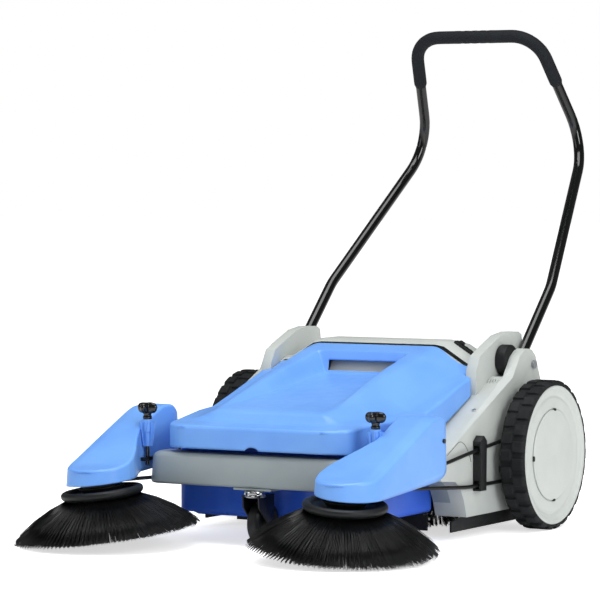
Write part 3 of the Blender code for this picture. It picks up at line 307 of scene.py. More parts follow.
def moulded(name, base, deep, roughness, depth=0.06):
    """Plastic with three patterns: grain bumps, a slow drift of colour and patches of roughness."""
    material, tree, shader, place = start_material(name, base, roughness, Specular_IOR_Level=0.45)
    drift = ranged(tree, noise(tree, place, 9.0, 3.0, 0.55), 0.35, 0.75)
    tree.links.new(mixed(tree, base, deep, drift), shader.inputs["Base Color"])
    patch = ranged(tree, noise(tree, place, 45.0, 5.0, 0.6), 0.3, 0.7, roughness - 0.06, roughness + 0.06)
    tree.links.new(patch, shader.inputs["Roughness"])
    bumped(tree, shader, noise(tree, place, 1.0 / MOULD_GRAIN), depth)
    return material


BLUE = moulded("blue moulded polyethylene", "#76AEF8", "#69A2F3", 0.34)
# The tub is the same blue plastic as the top. Its copy is darker, which paints the shade that falls on the
# tub under the front beam.
TUB_BLUE_WITH_PAINTED_SHADE = moulded("blue moulded polyethylene of the tub", "#3D72EC", "#2F62E2", 0.34)
LIGHT_GREY = moulded("light grey moulded polypropylene", "#C3C8C4", "#B7BDBA", 0.42)
MID_GREY = moulded("mid grey moulded polypropylene", "#98A3A6", "#8B9699", 0.42)
WHITE = moulded("off white moulded polypropylene", "#CBD0CC", "#C2C7C4", 0.40)
DARK = moulded("dark grey glass filled nylon", "#0F1315", "#0B0E10", 0.50, depth=0.10)
BLACK_PLASTIC = moulded("black moulded polypropylene", "#121416", "#0C0E10", 0.45, depth=0.10)
print("materials so far", len(bpy.data.materials))

# %% [markdown]
# ## Rubber and foam
# Tyre rubber is matt with a dusty bloom. The skirts and belts are smoother. The grip is nitrile foam with
# open pores about 1 mm across.

# %% Rubber and foam materials
def rubber(name, base, bloom, roughness, grain=0.0014, depth=0.25):
    """Matt rubber: fine grain, and a paler bloom where a slow noise is high."""
    material, tree, shader, place = start_material(name, base, roughness, Specular_IOR_Level=0.35)
    dust = ranged(tree, noise(tree, place, 28.0, 6.0, 0.65), 0.48, 0.78)
    tree.links.new(mixed(tree, base, bloom, dust), shader.inputs["Base Color"])
    bumped(tree, shader, noise(tree, place, 1.0 / grain, 3.0), depth, 0.0006)
    return material


TYRE_RUBBER = rubber("moulded tyre rubber", "#141618", "#26292B", 0.72)
SKIRT_RUBBER = rubber("extruded skirt rubber", "#101214", "#1A1D1F", 0.55, grain=0.0022, depth=0.12)
BELT_RUBBER = rubber("round polyurethane belt", "#0E0F11", "#17191B", 0.42, grain=0.003, depth=0.08)
FOAM = rubber("nitrile foam", "#12161B", "#1A1F25", 0.80, grain=0.0012, depth=0.4)
print("materials so far", len(bpy.data.materials))

# %% [markdown]
# ## Paint, metal and bristle
# The handle tube is powder coated gloss black, which has a soft orange peel of about 2 mm. Bolts are zinc
# plated. The bristles are extruded polypropylene, each a little lighter or darker than the next.

# %% Paint, metal and bristle materials
def painted(name, base, roughness, peel=0.002, depth=0.05, coat=0.0):
    """Powder coat: a smooth film whose surface rolls gently, as orange peel does."""
    material, tree, shader, place = start_material(name, base, roughness, Coat_Weight=coat,
                                                   Coat_Roughness=0.06)
    roll = noise(tree, place, 1.0 / peel, 1.0)
    dull = ranged(tree, roll, 0.3, 0.7, roughness - 0.03, roughness + 0.05)
    tree.links.new(dull, shader.inputs["Roughness"])
    bumped(tree, shader, roll, depth)
    return material


def metal(name, base, deep, roughness):
    """Plated steel: metallic, with patches that change its colour and roughness, and a 0.6 mm grain."""
    material, tree, shader, place = start_material(name, base, roughness, Metallic=1.0)
    patch = noise(tree, place, 90.0, 5.0, 0.6)
    tree.links.new(mixed(tree, base, deep, patch), shader.inputs["Base Color"])
    dull = ranged(tree, patch, 0.0, 1.0, roughness - 0.05, roughness + 0.10)
    tree.links.new(dull, shader.inputs["Roughness"])
    bumped(tree, shader, noise(tree, place, 1.0 / 0.0006), 0.04, 0.0003)
    return material


GLOSS_BLACK = painted("gloss black powder coat", "#050607", 0.10, coat=0.3)
SATIN_BLACK = painted("satin black powder coat", "#111315", 0.38)
PHENOLIC = painted("polished black phenolic", "#07080A", 0.10, peel=0.004, depth=0.02, coat=0.5)
ZINC = metal("zinc plated steel", "#B9BCC0", "#9DA1A6", 0.30)
CHROME = metal("bright chrome plate", "#D8DADC", "#C2C5C8", 0.12)


def bristle(name, base, light):
    """Extruded filament: a colour that changes from strand to strand, and a hard narrow gleam."""
    material, tree, shader, place = start_material(name, base, 0.34, Specular_IOR_Level=0.55)
    strand = ranged(tree, noise(tree, place, 420.0), 0.5, 0.8)
    tree.links.new(mixed(tree, base, light, strand), shader.inputs["Base Color"])
    return material


BRISTLE = bristle("extruded polypropylene bristle", "#060709", "#14161C")
print("materials", len(bpy.data.materials))

# %% [markdown]
# ## Putting a piece on the machine
# A finished piece gets its material, rides on the body that it moves with, and hides the solids that it
# stands for.

# %% Placing a piece
def fit(obj, body, material, slot, *replaced):
    """Give obj its material, let it ride on a body and let it stand for the solid nodes it replaces."""
    obj.data.materials.clear()
    obj.data.materials.append(material)
    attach(obj, body)
    if replaced:
        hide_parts(*replaced)
    return obj


def span(node):
    """Lowest and highest corner of a node as arrays."""
    low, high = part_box(node)
    return np.array(low), np.array(high)


def kind(node):
    """A node's name without its side, which is also its slot's name."""
    return node.removeprefix("left_").removeprefix("right_")


def walled(obj, thickness, up):
    """Face an open sheet up or down (up is 1 or -1), then give it a wall behind its faces."""
    lift = sum(face.normal.z * face.area for face in obj.data.polygons)
    if lift * up < 0:
        obj.data.flip_normals()
    shell = obj.modifiers.new("wall", "SOLIDIFY")
    shell.thickness = thickness
    shell.offset = -1.0
    return obj


def slab(name, outline, x_low, x_high):
    """A flat piece: an outline in y and z, carried from one x to the other."""
    x = np.array([x_low, x_high])[:, None, None]
    sides = [np.broadcast_to(x, (2, len(outline), 1)), np.broadcast_to(outline, (2, *outline.shape))]
    return skin(name, placed(np.concatenate(sides, axis=2)))


print("right wheel box", [round(float(v), 3) for v in span("right_tyre")[0]])

# %% [markdown]
# ## The handle
# One steel tube, 20 mm across, runs from one pivot up over the top and down to the other. It is bent on
# arcs, so the centre line is straight runs joined by arcs, and a round section is carried along it.

# %% Handle tube and grip
def arc_path(corners, radii, steps=10):
    """Straight runs between corners with each inner corner turned on an arc of its radius.

    The arc's points are the spherical mean of its two end arms: (a sin((1-s)w) + b sin(s w)) / sin w."""
    corners = np.asarray(corners, float)
    runs = [corners[:1]]
    for corner, before, after, radius in zip(corners[1:-1], corners[:-2], corners[2:], radii):
        back = (before - corner) / np.linalg.norm(before - corner)
        ahead = (after - corner) / np.linalg.norm(after - corner)
        half = math.acos(float(back @ ahead)) / 2
        middle = corner + (back + ahead) / np.linalg.norm(back + ahead) * radius / math.sin(half)
        start = corner + back * radius / math.tan(half) - middle
        end = corner + ahead * radius / math.tan(half) - middle
        turn = math.pi - 2 * half
        share = np.linspace(0.0, 1.0, steps)[:, None]
        arc = (start * np.sin((1 - share) * turn) + end * np.sin(share * turn)) / math.sin(turn)
        runs.append(middle + arc)
    runs.append(corners[-1:])
    return np.vstack(runs)


def refined(path, spacing):
    """The same line with points at even spacing along it, read off by its running length."""
    length = np.concatenate([[0.0], np.cumsum(np.linalg.norm(np.diff(path, axis=0), axis=1))])
    even = np.linspace(0.0, length[-1], max(int(length[-1] / spacing), 2) + 1)
    return np.stack([np.interp(even, length, path[:, k]) for k in range(3)], axis=1)


pivot = np.array(joints["handle_fold"]["pos_m"]) - np.array([0.0, AXLE_Y, 0.0])
tube_x = 0.2365
half_way = [(tube_x, pivot[1] - 0.024, pivot[2] - 0.0233), (tube_x, pivot[1] + 0.141, pivot[2] + 0.1375),
            (0.1725, 0.464, 0.705), (0.132, 0.331, 0.917)]
corners = [(-x, y, z) for x, y, z in half_way] + half_way[::-1]
centre_line = refined(arc_path(corners, [0.15, 0.09, 0.062, 0.062, 0.09, 0.15]), 0.006)
handle = swept("bent_handle_tube", placed(centre_line), 0.010, sides=32)
fit(handle, "handle", GLOSS_BLACK, "handle_tube", "handle_tube")

covered = centre_line[centre_line[:, 2] > span("foam_grip")[0][2] + 0.011]
along = np.linspace(0.0, 1.0, len(covered))
ends = np.minimum(along, 1.0 - along) * len(covered) * 0.006
bands = 0.0003 * np.cos(2 * math.pi * covered[:, 0] / 0.018) * (np.abs(covered[:, 0]) < 0.045)
foam_radius = 0.0126 - 0.0022 * np.exp(-ends / 0.0022) + bands
grip = swept("foam_sleeve", placed(covered), foam_radius, sides=32)
fit(grip, "handle", FOAM, "foam_grip", "foam_grip")
print("handle points", len(centre_line), "grip points", len(covered))

# %% [markdown]
# ## The rear wheels
# Each wheel is a rubber tyre with two staggered rows of blocky lugs on a white moulded disc. The tyre is one
# grid: round the wheel in one direction and round the tyre's section in the other. The lugs are a mask on
# that grid that pushes the tread outwards, with steep but smooth flanks.

# %% Tyre
def step_up(value, low, high):
    """0 below low, 1 above high, 3 t squared - 2 t cubed between them."""
    t = np.clip((value - low) / (high - low), 0.0, 1.0)
    return t * t * (3 - 2 * t)


def tyre(name, side, lugs=27, count=1080):
    """Section round x and radius; the tread rises by 4 mm where angle and x lie in a lug."""
    low, high = span(name + "_tyre")
    x_in, x_out = sorted((abs(low[0]), abs(high[0])))
    outer = (high[2] - low[2]) / 2
    bead = outer - 0.0092
    depth = 0.0042
    base = outer - depth
    section = [(x_in, bead), (x_in, base - 0.003), (x_in + 0.004, base), (x_out - 0.004, base),
               (x_out, base - 0.003), (x_out, bead)]
    section = soft_corners(section, 0.0025, 4)
    loop = np.vstack([section, section[:1]])
    length = np.concatenate([[0.0], np.cumsum(np.linalg.norm(np.diff(loop, axis=0), axis=1))])
    even = np.linspace(0.0, length[-1], 92, endpoint=False)
    x = np.interp(even, length, loop[:, 0])[None, :]
    radius = np.interp(even, length, loop[:, 1])[None, :]
    angle = np.linspace(0.0, 2 * math.pi, count, endpoint=False)[:, None]
    middle = (x_in + x_out) / 2
    phase = angle * lugs / (2 * math.pi) + np.where(x > middle, 0.5, 0.0)
    around = np.abs(phase % 1.0 - 0.5)
    across = np.abs(x - middle)
    raised = (1 - step_up(around, 0.29, 0.335)) * step_up(across, 0.0016, 0.0030)
    tread = step_up(radius, base - 0.0035, base - 0.0005)
    rib = (1 - step_up(np.abs(x - middle), 0.0010, 0.0022)) * 0.35
    radius = radius + depth * np.maximum(raised, rib) * tread
    shoulder = (1 - step_up(around, 0.29, 0.335)) * step_up(across, 0.0205, 0.0235)
    x = x - np.sign(x - middle) * 0.0010 * (1 - shoulder) * step_up(radius, bead + 0.001, base)
    grid = np.stack([side * x, radius * np.sin(angle), AXLE_Z + radius * np.cos(angle)], axis=2)
    obj = skin(name + "_lugged_tyre", placed(grid), around=True, along=True, caps=False, smooth=40)
    return fit(obj, name + "_wheel", TYRE_RUBBER, "tyre", name + "_tyre")


for name, side in SIDES:
    print(name, "tyre faces", len(tyre(name, side).data.polygons))

# %% [markdown]
# ## Wheel discs
# The disc is one turned shape: a raised outer lip, a shallow groove inside it, and a flat face with a fine
# ring where the hub cap snaps in. Three small dark catches sit on that ring.

# %% Wheel disc, hub cap and catches
CATCH_RING = 0.0830


def wheel_disc(name, side):
    """Profile of (radius, height outwards) turned about the axle, and the cap's three catches."""
    low, high = span(name + "_wheel_rim")
    inner, face = sorted((abs(low[0]), abs(high[0])))
    rim = (high[2] - low[2]) / 2
    centre = placed((0.0, 0.0, AXLE_Z))
    outward = (side, 0.0, 0.0)
    flat = face - 0.005
    profile = [(0.0083, inner), (0.018, inner), (0.0185, flat - 0.004), (rim - 0.004, flat - 0.004),
               (rim - 0.004, inner + 0.001), (rim, inner + 0.001), (rim, face), (rim - 0.0035, face + 0.0002),
               (rim - 0.0070, face - 0.0004), (rim - 0.0095, face - 0.0030), (rim - 0.0190, flat - 0.0016),
               (rim - 0.0235, flat), (0.0848, flat), (0.0842, flat - 0.0015), (0.0083, flat - 0.0015)]
    disc = turned(name + "_wheel_disc", profile, centre, outward, count=128, reach=0.0012)
    fit(disc, name + "_wheel", WHITE, "wheel_rim", name + "_wheel_rim")
    top = flat + 0.0028
    dome = [(0.0003, flat - 0.0012), (0.0828, flat - 0.0012), (0.0832, flat + 0.0012),
            (0.0822, flat + 0.0020), (0.060, top), (0.030, top + 0.0004), (0.0003, top + 0.0004)]
    cap = turned(name + "_snap_cap", dome, centre, outward, count=128, reach=0.0009)
    fit(cap, name + "_wheel", WHITE, "hub_cap", name + "_hub_cap")
    rows = np.array([(flat - 0.001, 1.0), (top + 0.0001, 1.0), (top + 0.0004, 0.86)])
    share = rows[:, 1, None]
    t = np.linspace(0.0, 2 * math.pi, 20, endpoint=False)
    radius = CATCH_RING + 0.0024 * share * np.sin(t)
    x = side * np.broadcast_to(rows[:, 0, None], radius.shape)
    for number, turn in enumerate(np.radians([87.0, 181.0, 271.0])):
        swing = turn + 0.058 * share * np.cos(t)
        grid = np.stack([x, radius * np.cos(swing), AXLE_Z + radius * np.sin(swing)], axis=2)
        fit(skin(f"{name}_cap_catch_{number}", placed(grid)), name + "_wheel", DARK, "ring_gear")
    return disc


for name, side in SIDES:
    print(name, "disc faces", len(wheel_disc(name, side).data.polygons))

# %% [markdown]
# ## Side brushes
# A side brush is a dark disc with a thick rounded rim and a skirt of long straight filaments that splay out
# to the floor. Each filament is a thin three sided taper, a few faces each, and all of them are worked out
# together as one array: angle, root radius and tip radius are spread by golden ratio steps, which look
# random and never repeat, so that the ends come out ragged.

# %% Filaments of the side brushes
def spread(count, seed):
    """Numbers in 0 to 1 that fill the range evenly without a pattern: fractions of k times a step."""
    k = np.arange(count)
    return (k * (0.6180339887 + 0.0713 * seed) + 0.137 * seed) % 1.0


def filaments(name, roots, tips, bow, thick, rings=4):
    """Three sided tapers: centre = root + (tip - root) t + bow sin(pi t), radius falls to the tip."""
    t = np.linspace(0.0, 1.0, rings)
    centre = roots[:, None] + (tips - roots)[:, None] * t[None, :, None]
    centre = centre + bow[:, None] * np.sin(math.pi * t)[None, :, None]
    run = (tips - roots) / np.linalg.norm(tips - roots, axis=1, keepdims=True)
    u = np.cross(run, np.array([0.0, 0.0, 1.0]))
    u = u / np.maximum(np.linalg.norm(u, axis=1, keepdims=True), 1e-9)
    v = np.cross(run, u)
    a = np.radians([0.0, 120.0, 240.0])
    ring = u[:, None] * np.cos(a)[None, :, None] + v[:, None] * np.sin(a)[None, :, None]
    size = thick[:, None] * (1.0 - 0.45 * t ** 3)[None, :]
    points = centre[:, :, None] + ring[:, None] * size[:, :, None, None]
    base = grid_faces(rings, 3, around=True)
    step = rings * 3
    offsets = (np.arange(len(roots)) * step)[:, None, None]
    faces = (base[None] + offsets).reshape(-1, 4).tolist()
    ends = np.array([[0, 1, 2], [step - 1, step - 2, step - 3]])
    faces += (ends[None] + offsets).reshape(-1, 3).tolist()
    return mesh_object(name, points, faces, smooth=180.0, merge=False)


def brush_axes(name):
    """Centre of the tip circle, and three square directions with the last along the brush's axis."""
    joint = joints[name + "_brush_spin"]
    n = np.array(joint["axis"]) / np.linalg.norm(joint["axis"])
    u = np.cross((0.0, 1.0, 0.0), n)
    u /= np.linalg.norm(u)
    return np.array(joint["pos_m"]), u, np.cross(n, u), n


def side_brush(name, count=5200):
    """Roots lie in the rim's underside, tips on a ring at the floor; tips differ in length by 9 mm."""
    centre, u, v, n = brush_axes(name)
    angle = 2 * math.pi * np.arange(count) / count + 0.05 * (spread(count, 3) - 0.5)
    share = spread(count, 1)
    ragged = spread(count, 2) ** 2
    root_radius = 0.040 + 0.026 * share
    tip_radius = 0.118 + 0.047 * share ** 0.7 - 0.006 * ragged
    root_height = 0.0655
    tip_height = 0.0012 + 0.0015 * share + 0.011 * ragged * (share > 0.4)
    tip_angle = angle + 0.05 * (spread(count, 5) - 0.5)

    def point(radius, height, a):
        """Points about the brush's axis: centre + radius (u cos a + v sin a) + height n."""
        across = u * np.cos(a)[:, None] + v * np.sin(a)[:, None]
        return centre + across * radius[:, None] + n * np.broadcast_to(height, a.shape)[:, None]

    roots = point(root_radius, root_height, angle)
    tips = point(tip_radius, tip_height, tip_angle)
    outwards = u * np.cos(angle)[:, None] + v * np.sin(angle)[:, None]
    bow = (outwards * 0.002 + n * 0.0045) * (0.4 + 0.6 * spread(count, 4))[:, None]
    thick = 0.00062 + 0.00022 * spread(count, 6)
    obj = filaments(name + "_brush_filaments", roots, tips, bow, thick)
    return fit(obj, name + "_brush", BRISTLE, "brush_bristles", name + "_brush_bristles")


def brush_disc(name):
    """The disc's profile turned about the brush axis: fat round rim, a recess, and the belt pulley."""
    centre, _, _, n = brush_axes(name)
    profile = [(0.0064, 0.0680), (0.030, 0.0680), (0.046, 0.0655), (0.064, 0.0650), (0.0725, 0.0705),
               (0.0728, 0.0790), (0.0655, 0.0830), (0.0585, 0.0795), (0.0545, 0.0745), (0.030, 0.0745),
               (0.0410, 0.0848), (0.0410, 0.0862), (0.0334, 0.0868), (0.0334, 0.1000), (0.0410, 0.1008),
               (0.0410, 0.1018), (0.0064, 0.1018)]
    reach = [0.0005, 0.004, 0.004, 0.006, 0.006, 0.006, 0.006, 0.003, 0.003, 0.003] + [0.0008] * 7
    obj = turned(name + "_rimmed_disc", profile, centre, n, count=96, reach=reach, steps=5, smooth=40)
    return fit(obj, name + "_brush", DARK, "brush_disc", name + "_brush_disc")


for name, side in SIDES:
    print(name, "filament faces", len(side_brush(name).data.polygons), len(brush_disc(name).data.polygons))

# %% [markdown]
# ## The main roller
# The roller's filaments stand in six spiral rows on its core. The root turns one sixth of the way round from
# end to end, so the rows sweep like a screw.

# %% Roller filaments
def roller(count=6600, rows=6):
    """Angle of a filament = 2 pi row / rows + twist x; root on the core, tip at the brush's radius."""
    joint = joints["roller_spin"]
    centre = np.array(joint["pos_m"])
    low, high = span("roller_bristles")
    tip = (high[2] - low[2]) / 2 - 0.0006
    k = np.arange(count)
    row = k % rows
    x = low[0] + 0.003 + (high[0] - low[0] - 0.006) * (k // rows + spread(count, 1)) / (count / rows)
    angle = 2 * math.pi * row / rows + 5.2 * x + 0.30 * (spread(count, 2) - 0.5)
    lean = angle + 0.22 * (spread(count, 3) - 0.5)

    def point(radius, a, shift):
        """Points about the roller's axis, moved along it by shift."""
        return np.stack([x + shift, centre[1] + radius * np.cos(a), centre[2] + radius * np.sin(a)], axis=1)

    roots = point(0.0302, angle, 0.0)
    tips = point(tip - 0.004 * spread(count, 4) ** 2, lean, 0.004 * (spread(count, 5) - 0.5))
    obj = filaments("roller_filaments", roots, tips, np.zeros_like(roots), np.full(count, 0.0006), rings=3)
    return fit(obj, "roller", BRISTLE, "roller_bristles", "roller_bristles")


print("roller faces", len(roller().data.polygons))

# %% [markdown]
# ## Moulded lids
# The hopper's top and the arm covers are the same kind of thing: a curved top face, a soft edge of a few
# millimetres all round, and walls that drop from it. The top is a height over a grid of x and y that fills
# the outline. Near the outline it falls on a quarter circle, and a band of wall runs down from there.

# %% Lid surface
def edge_fall(points, boundary, radius):
    """How far a rounded edge has fallen: r - sqrt(r^2 - (r - d)^2) within r of the boundary, else 0.

    d is the distance in plan to the nearest boundary point, measured for one row of points at a time."""
    fall = np.zeros(points.shape[:2])
    for number, row in enumerate(points):
        gap = np.sqrt(((row[:, None, :2] - boundary[None, :, :2]) ** 2).sum(axis=2)).min(axis=1)
        inside = np.clip(radius - gap, 0.0, radius)
        fall[number] = radius - np.sqrt(radius ** 2 - inside ** 2)
    return fall


def lid(name, y, left, right, height, low, radius, columns, open_rear, wall, draft=0.0, holes=None):
    """Top face over x from left(y) to right(y), rounded at its edge, with walls down to low(x, y).

    Columns crowd towards the edges: x = middle + half width sin(pi s / 2). Walls lean out by draft."""

    def edge_line():
        """The outline of the top: up the left edge, across the front and back along the right edge."""
        parts = [top[::-1, 0], top[0, 1:-1], top[:, -1]]
        if not open_rear:
            parts.append(top[-1, -2:0:-1])
        return np.vstack(parts)

    s = np.sin(0.5 * math.pi * np.linspace(-1.0, 1.0, columns))[None, :]
    x = (left + right)[:, None] / 2 + (right - left)[:, None] / 2 * s
    y_grid = np.broadcast_to(y[:, None], x.shape)
    top = np.stack([x, y_grid, height(x, y_grid)], axis=2)
    rim = edge_line()
    boundary = np.vstack([rim, (rim + np.roll(rim, -1, axis=0))[:-1] / 2])
    top[..., 2] -= edge_fall(top, boundary, radius)
    rim = edge_line()
    tangent = np.roll(rim, -1, axis=0) - np.roll(rim, 1, axis=0)
    outwards = np.stack([-tangent[:, 1], tangent[:, 0]], axis=1)
    outwards /= np.maximum(np.linalg.norm(outwards, axis=1, keepdims=True), 1e-9)
    middle = rim[:, :2].mean(axis=0)
    if ((rim[:, :2] - middle) * outwards).sum() < 0:
        outwards = -outwards
    t = np.linspace(0.0, 1.0, 10)[:, None]
    foot = low(rim[:, 0], rim[:, 1])
    band = np.empty((len(t), len(rim), 3))
    band[..., :2] = rim[None, :, :2] + outwards[None] * draft * t[..., None]
    band[..., 2] = rim[None, :, 2] * (1 - t) + foot[None] * t
    faces = grid_faces(*top.shape[:2])
    if holes is not None:
        centre = top.reshape(-1, 3)[faces].mean(axis=1)
        faces = faces[~holes(centre)]
    faces = faces.tolist()
    faces += grid_faces(len(t), len(rim), around=not open_rear, start=top[..., 0].size).tolist()
    points = np.vstack([top.reshape(-1, 3), band.reshape(-1, 3)])
    return walled(mesh_object(name, placed(points), faces, smooth=50), wall, 1)


def smoothed(values, spacing, sigma):
    """Values on even stations, blurred by a bell curve of width sigma, with the ends held."""
    reach = int(3 * sigma / spacing) + 1
    k = np.arange(-reach, reach + 1) * spacing
    bell = np.exp(-0.5 * (k / sigma) ** 2)
    padded = np.concatenate([np.full(reach, values[0]), values, np.full(reach, values[-1])])
    return np.convolve(padded, bell / bell.sum(), mode="valid")


print("lid helper ready")

# %% [markdown]
# ## The hopper
# The hopper is the big blue lift-out box. Its crown rises towards the back and is scooped out in front of
# the grip slot; beside the crown a long slope falls to a flange. Each measure is a smooth curve along the
# machine, and the section at every station is built from them with rounded knees.

# %% Hopper top
# y, half width and height of the crown, where the slope ends, flange height, half width, lower edge
STATIONS = np.array([
    (-0.530, 0.108, 0.2095, 0.125, 0.2090, 0.148, 0.169),
    (-0.506, 0.120, 0.2120, 0.165, 0.2105, 0.185, 0.168),
    (-0.480, 0.118, 0.2150, 0.165, 0.2135, 0.1875, 0.168),
    (-0.466, 0.112, 0.2320, 0.150, 0.2150, 0.1885, 0.168),
    (-0.430, 0.114, 0.2430, 0.160, 0.2180, 0.1950, 0.169),
    (-0.350, 0.118, 0.2660, 0.175, 0.2210, 0.220, 0.170),
    (-0.300, 0.122, 0.2800, 0.180, 0.2250, 0.220, 0.174),
    (-0.240, 0.126, 0.2960, 0.183, 0.2430, 0.220, 0.1950),
    (-0.1155, 0.1315, 0.3255, 0.185, 0.2830, 0.220, 0.2490),
    (-0.1140, 0.1315, 0.3260, 0.185, 0.2833, 0.204, 0.2560),
    (-0.0757, 0.131, 0.3340, 0.180, 0.2970, 0.204, 0.2640)])
CORNER = 0.040
SCOOP_REAR = -0.125


def knee(u, r):
    """A ramp that is 0 before u = 0 and u after it, with a rounded knee: (u + sqrt(u^2 + r^2)) / 2."""
    return (u + np.sqrt(u * u + r * r)) / 2


def scoop_floor(y):
    """Height of the scoop's straight floor."""
    return 0.2385 + (y + 0.440) * 0.1435


spacing = 0.0015
y_rows = np.arange(STATIONS[0, 0], STATIONS[-1, 0] + spacing / 2, spacing)
curve = {}
for number, key in enumerate(("crown", "top", "shoulder", "flange", "edge", "low"), start=1):
    table_y = np.where(STATIONS[:, 0] < -0.52, -0.60, STATIONS[:, 0]) if key == "edge" else STATIONS[:, 0]
    raw = np.interp(y_rows, table_y, STATIONS[:, number])
    curve[key] = smoothed(raw, spacing, 0.0018 if key in ("edge", "low") else 0.0032)
corner = np.clip(CORNER - (y_rows - y_rows[0]), 0.0, CORNER)
curve["edge"] = curve["edge"] - CORNER + np.sqrt(np.maximum(CORNER ** 2 - corner ** 2, 0.0))


def hopper_height(x, y):
    """Crown, slope and flange of the section at y, less the scoop in front of the grip slot."""
    value = {key: np.interp(y, y_rows, line) for key, line in curve.items()}
    across = np.abs(x)
    fall = (value["top"] - value["flange"]) / (value["shoulder"] - value["crown"])
    z = value["top"] - fall * (knee(across - value["crown"], 0.010) - knee(across - value["shoulder"], 0.014))
    z = z + 0.0012 * (1 - (across / 0.25) ** 2)
    half = np.interp(y, [-0.44, -0.30, SCOOP_REAR], [0.098, 0.082, 0.074])
    depth = np.clip(z - scoop_floor(y), 0.0, None)
    side = 1 - step_up(across, half - 0.002, half + 0.024)
    rear = 1 - step_up(y, SCOOP_REAR - 0.006, SCOOP_REAR + 0.003)
    return np.minimum(z - depth * side * rear, value["top"] + 0.0002)


def hopper_low(x, y):
    """Lower edge of the skirt, with a finger notch in the middle of the front."""
    base = np.interp(y, y_rows, curve["low"])
    notch = 0.006 * np.sqrt(np.clip(1 - (x / 0.013) ** 2, 0.0, 1.0)) * (y < -0.5295)
    return base + notch


def grip_slot(p):
    """Faces of the scoop's rear wall that the slot takes away."""
    high = scoop_floor(SCOOP_REAR)
    return ((np.abs(p[:, 0]) < 0.071) & (np.abs(p[:, 1] - SCOOP_REAR) < 0.0075)
            & (p[:, 2] > high + 0.0025) & (p[:, 2] < 0.3075))


fine_rows = np.unique(np.concatenate([y_rows[::2], y_rows[-1:], np.arange(-0.1325, -0.1210, 0.0004),
                                      np.arange(-0.530, -0.520, 0.0007), np.arange(-0.484, -0.460, 0.001)]))
fine_rows = fine_rows[np.concatenate([[True], np.diff(fine_rows) > 0.0003])]
edge = np.interp(fine_rows, y_rows, curve["edge"])
hopper = lid("hopper_top_shell", fine_rows, -edge, edge, hopper_height, hopper_low, 0.006, 181, True,
             0.0025, holes=grip_slot)
fit(hopper, "hopper", BLUE, "hopper", "hopper")

# The grey panel behind the slot leans back and is bowed forward by 2 mm in the middle.
across, up = np.meshgrid(np.linspace(-0.078, 0.078, 40), np.linspace(0.0, 1.0, 14))
bow = 0.002 * (1 - (across / 0.078) ** 2)
panel = np.stack([across, -0.1175 + 0.022 * up - bow, 0.2835 + 0.034 * up], axis=2)
slot_panel = mesh_object("grip_slot_panel", placed(panel), grid_faces(14, 40).tolist(), smooth=50)
sheet = slot_panel.modifiers.new("sheet", "SOLIDIFY")
sheet.thickness = 0.0015
sheet.offset = 0.0
fit(slot_panel, "hopper", LIGHT_GREY, "hopper")
print("hopper faces", len(hopper.data.polygons))

# %% [markdown]
# ## The hopper's tub
# Under the top hangs the tub that holds the dirt. Its front wall has soft upright waves that stiffen it.
# The wall follows a plan line with round corners; each pair of facing points is joined by a strip of floor.

# %% Tub
def tub(half, front, rear, low, high, corner=0.014):
    """Plan: U with round front corners. Front wave = 1.6 mm (1 - cos(2 pi x / 62 mm)). Wall then floor."""
    plan = np.array([(-half, rear), (-half, front), (0.0, front)])
    plan = soft_corners(plan, corner, 9, closed=False)
    plan = refined(np.column_stack([plan, np.zeros(len(plan))]), 0.003)[:, :2]
    wave = 0.0016 * (1 - np.cos(2 * math.pi * plan[:, 0] / 0.062))
    wave = wave * step_up(-plan[:, 1], -front - 0.004, -front)
    plan[:, 1] += wave
    both = np.vstack([plan, plan[-2::-1] * np.array([-1.0, 1.0])])
    z = np.linspace(high, low + 0.008, 24)
    bend = np.linspace(0.0, 0.5 * math.pi, 6)[1:]
    inward = np.concatenate([np.zeros_like(z), 0.008 * (1 - np.cos(bend))])
    z = np.concatenate([z, low + 0.008 - 0.008 * np.sin(bend)])
    share = 1 - inward[:, None] / half
    wall = np.stack([both[None, :, 0] * share,
                     front + (both[None, :, 1] - front) + inward[:, None] * (both[None, :, 1] < front + 0.03),
                     np.broadcast_to(z[:, None], (len(z), len(both)))], axis=2)
    near = wall[-1, :len(plan)]
    far = wall[-1, ::-1][:len(plan)]
    t = np.linspace(0.0, 1.0, 30)[None, :, None]
    floor = near[:, None] * (1 - t) + far[:, None] * t
    faces = grid_faces(*wall.shape[:2]).tolist()
    faces += grid_faces(*floor.shape[:2], start=wall.shape[0] * wall.shape[1]).tolist()
    points = np.vstack([wall.reshape(-1, 3), floor.reshape(-1, 3)])
    return walled(mesh_object("hopper_tub", placed(points), faces, 50), 0.0035, -1)


# The tub takes the darker blue, which is painted shade under the front beam.
fit(tub(0.2010, -0.4455, -0.238, 0.0465, 0.205), "hopper", TUB_BLUE_WITH_PAINTED_SHADE, "hopper")
print("tub ready")

# %% [markdown]
# ## Arm covers and knobs
# An arm cover is a lid again: a round nose over the brush, a narrower tail, and a top that rises straight
# towards the pivot and rounds over there. A ribbed column stands beside it for the height knob's rod.

# %% Arm covers
NOSE = np.array([0.2495, -0.6245])
NOSE_RADIUS = 0.0595


def round_off(u):
    """A quarter circle's fall: 1 - sqrt(1 - u^2) for u from 0 to 1, and 0 before it."""
    return 1 - np.sqrt(1 - np.clip(u, 0.0, 1.0) ** 2)


